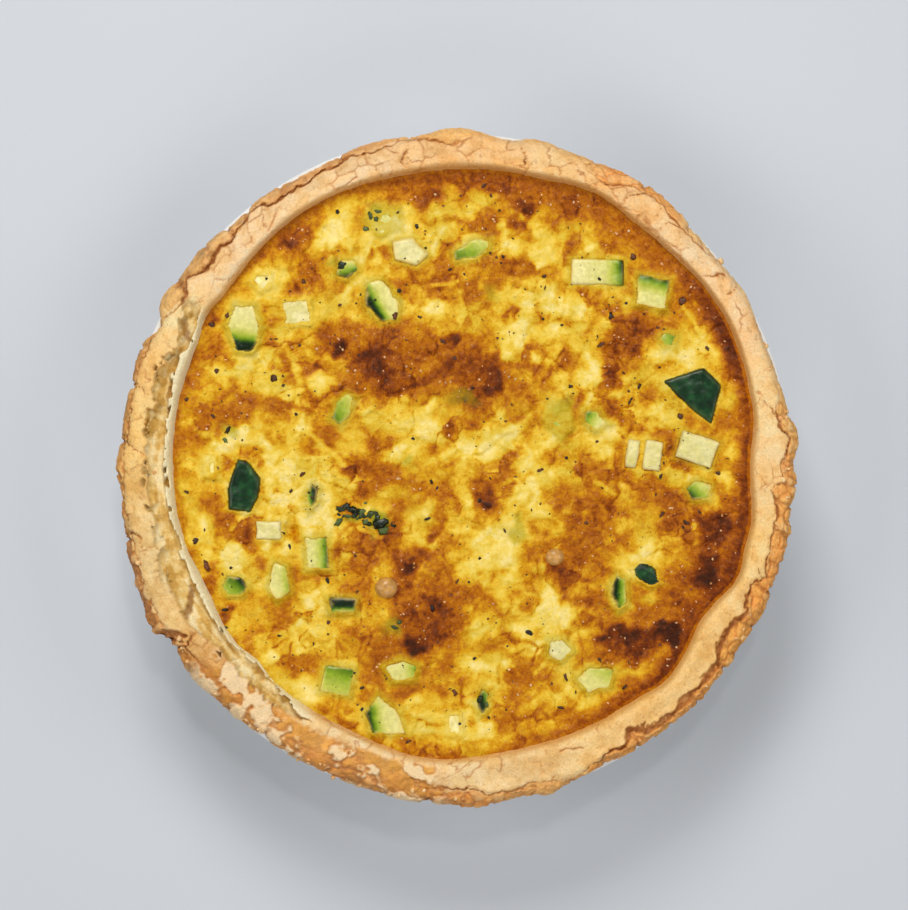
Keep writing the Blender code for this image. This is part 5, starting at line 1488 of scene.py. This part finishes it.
# %% [markdown]
# Coarsely ground black pepper: broken corns from one to two millimetres, and dust. The coarse
# grains have their places from a list, and chance scatters the dust. It is dull and almost
# black, with brown where the inside shows, so it reads as small hard specks with little shine.
# %% Scatter the pepper
PEPPER = [
    (-51.7, 34.0, 1.3), (-55.3, 32.0, 1.6), (-34.7, 41.6, 1.3), (-40.7, 28.7, 1.1), (-54.2, 21.5, 1.3),
    (-41.2, 19.9, 1.8), (-54.9, 11.4, 1.3), (-51.7, 8.3, 2.2), (-34.9, -1.6, 1.6), (-37.6, -5.4, 1.1),
    (-60.9, -5.6, 1.3), (-56.4, -22.2, 2.7), (-37.8, -17.9, 1.3), (-58.9, -16.6, 1.6), (-13.2, 39.6, 1.3),
    (-9.2, 54.0, 1.1), (-1.8, 44.3, 1.1), (5.8, 63.1, 1.6), (7.4, 60.9, 1.1), (-14.1, 33.8, 1.8),
    (-8.5, 33.6, 1.3), (-3.4, 28.2, 1.6), (-0.7, 24.4, 1.3), (19.5, 42.8, 1.3), (19.5, 40.3, 1.1),
    (15.2, 39.9, 1.3), (39.4, 47.2, 1.6), (50.4, 37.2, 2.0), (34.3, 33.8, 1.8), (32.2, 27.5, 2.2),
    (56.0, 26.6, 1.3), (25.3, 18.1, 1.3), (40.7, 18.1, 1.6), (38.5, 14.6, 1.3), (49.9, 11.4, 1.8),
    (45.5, -2.0, 1.8), (45.7, -10.7, 1.8), (51.3, -12.5, 1.6), (28.7, -12.5, 1.3), (12.8, -2.2, 1.1),
    (18.4, -0.7, 1.8), (-6.0, -3.4, 1.3), (4.9, -7.6, 1.3), (-6.9, -11.6, 1.6), (10.5, -14.1, 1.3),
    (-0.2, -25.7, 1.3), (-5.8, -31.6, 1.6), (15.9, -37.2, 1.6), (-0.7, -50.6, 1.8), (-11.2, -61.6, 1.6),
    (24.2, -47.2, 2.2), (23.1, -54.0, 1.6), (37.4, -49.3, 1.6), (-29.3, -25.5, 1.6), (-21.5, -49.5, 1.3),
    (-52.4, -32.0, 1.8),
    (-27.1, 57.3, 1.1), (-37.6, 39.4, 0.9), (-28.7, 27.8, 1.1), (-60.9, 15.2, 1.1), (-39.2, -14.8, 1.1),
    (12.3, 51.3, 0.9), (10.1, 47.2, 0.9), (12.5, 30.0, 0.7), (27.5, 54.6, 0.9), (44.8, 31.3, 1.1),
    (46.1, 0.9, 0.9), (58.4, -1.3, 1.1), (54.2, -10.1, 1.1), (-4.7, -4.7, 1.1), (3.6, -43.0, 1.1),
    (-29.1, -34.9, 1.1), (-21.5, -54.4, 1.1), (-52.2, -36.0, 1.1), (31.8, -43.2, 1.3),
]
DUST = 680
PEPPER_WRINKLE = 0.4

dust_away = 61.0 * np.sqrt(chance.random(DUST))
dust_turn = chance.uniform(0.0, math.tau, DUST)
dust_size = 0.3 + 0.6 * chance.random(DUST) ** 2
places = PEPPER + list(zip(dust_away * np.cos(dust_turn), dust_away * np.sin(dust_turn), dust_size))
grains = []
for x, y, size in places:
    points, faces = coarse_ball if size > 0.8 else fine_ball
    shape = broken_lump(points, 0.9 * size, 0.36, 0.4, 0.42) + (x, y, rests_at(x, y) + 0.03 * size)
    grains.append((shape, faces, blend(linear("#1C0E08"), linear("#6A3816"), chance.random() ** 2)))
pepper = joined("pepper", grains)
finish_piece(pepper, "pepper", tinted("cracked_black_pepper", 0.5, PEPPER_WRINKLE, 1.45))

# %% [markdown]
# Scraps of dark green skin came off the courgette and lie on the custard. Beads of oil and fat
# stand on the brownest parts; they are smaller than a millimetre, their pale colour is a painted
# glint, and each also catches one glint from the lamps. Two bubbles are larger: smooth, round,
# and tan where the skin over them is thin.
# %% Skin scraps, oil beads with painted glints, and bubbles
SCRAPS = [
    (-26.6, -9.4, 2.2), (-25.0, -8.9, 1.7), (-23.4, -9.7, 2.4), (-21.5, -10.0, 1.9), (-26.8, -12.3, 2.1),
    (-24.6, -11.0, 1.6), (-19.6, -10.5, 1.7), (-17.5, -12.6, 3.3), (-16.7, -14.2, 2.6), (-20.6, -12.2, 1.8),
    (-19.7, 56.4, 1.9), (-17.9, 57.3, 1.6), (-18.4, 55.6, 1.5), (-20.6, 53.5, 1.5), (-26.0, 45.2, 1.8),
    (-52.2, 6.0, 1.5), (4.9, -52.2, 1.8), (6.5, -53.3, 1.3), (-14.1, -36.0, 1.6), (-13.2, -34.8, 1.3),
]
# Two large bubbles under the skin: x, y and size in mm
BUBBLES = [(-16.1, -27.1, 5.4), (21.7, -20.2, 4.4)]
PAINTED_GLINT_BEADS = 430
SMALL_SCRAPS = 34
SCRAP_GRAIN = 0.5

# Most of the small scraps lie in one heap left of the middle
for _ in range(SMALL_SCRAPS):
    across, along = chance.normal(0.0, 1.0, 2)
    SCRAPS.append((-21.4 + 2.9 * across, -10.9 - 0.5 * across + 1.2 * along, chance.uniform(0.6, 1.5)))
scraps = []
for x, y, size in SCRAPS:
    points, faces = coarse_ball
    shape = broken_lump(points, size, 0.45, 0.28, 0.4) + (x, y, rests_at(x, y) + 0.04 * size)
    scraps.append((shape, faces, blend(linear("#121C0C"), linear("#5E6E34"), chance.random() ** 2)))
skin_scraps = joined("skin_scraps", scraps)
scrap_skin = tinted("courgette_skin_scraps", 0.3, SCRAP_GRAIN, 1.4)
finish_piece(skin_scraps, "skin_scraps", scrap_skin)

glint_bead_places = np.flatnonzero((browning_and_painted_shadow > 0.55) & (from_edge > 1.5))
beads = []
for at in chance.choice(glint_bead_places, PAINTED_GLINT_BEADS, replace=False):
    points, faces = fine_ball
    size = chance.uniform(0.3, 0.8)
    shape = broken_lump(points, size, 0.3, 0.4, 0.15) + (flat[at, 0], flat[at, 1], level[at] + 0.03)
    # Painted glint: the beads are pale tan to cream, so that they read as specks of light on the browns
    beads.append((shape, faces, blend(linear("#C4803A"), linear("#EECB98"), chance.random())))
for x, y, size in BUBBLES:
    points, faces = small_ball(3)
    shape = points * (0.48 * size, 0.44 * size, 0.3 * size) + (x, y, rests_at(x, y) - 0.1)
    beads.append((shape, faces, linear("#C4914C")))
painted_glint_beads_and_bubbles = joined("painted_glint_beads_and_bubbles", beads)
finish_piece(painted_glint_beads_and_bubbles, "painted_glint_beads_and_bubbles", tinted("painted_glint_beads_and_bubbles_finish", 0.25, 1.0, 1.42))

# %% [markdown]
# Crumbs broke off the rim. A few lie in the groove on the left, and the others cling to the
# right side and the lower left, where the crust fell into orange lumps.
# %% Crumbs of crust
# Degrees, radius in mm and size in mm of the crumbs that stand out
CRUMBS = [(181, 68.5, 1.5), (195, 71.0, 1.2), (38, 75.0, 1.6), (206, 72.6, 1.3), (262, 72.8, 1.4)]
SMALL_CRUMBS = 70
CRUMB_GRAIN = 0.5

for _ in range(SMALL_CRUMBS):
    at = chance.choice([chance.uniform(-62.0, 24.0), chance.uniform(190.0, 275.0)])
    CRUMBS.append((at % 360.0, chance.uniform(72.4, 75.0), chance.uniform(0.6, 1.3)))
crumbs = []
for at, away, size in CRUMBS:
    x, y = away * math.cos(math.radians(at)), away * math.sin(math.radians(at))
    off_the_top = 100.0 * (row > LAST_RIM_RING)
    under = np.argmin((shaped[on_rim, 0] - x) ** 2 + (shaped[on_rim, 1] - y) ** 2 + off_the_top)
    points, faces = coarse_ball
    shape = broken_lump(points, size, 0.6, 0.6, 0.25) + (x, y, min(z[under], 37.7))
    crumbs.append((shape, faces, blend(linear("#D9924A"), linear("#F2CE94"), chance.random())))
loose_crumbs = joined("crumbs", crumbs)
finish_piece(loose_crumbs, "crumbs", tinted("crumbs_of_shortcrust", 0.65, CRUMB_GRAIN, 1.45))
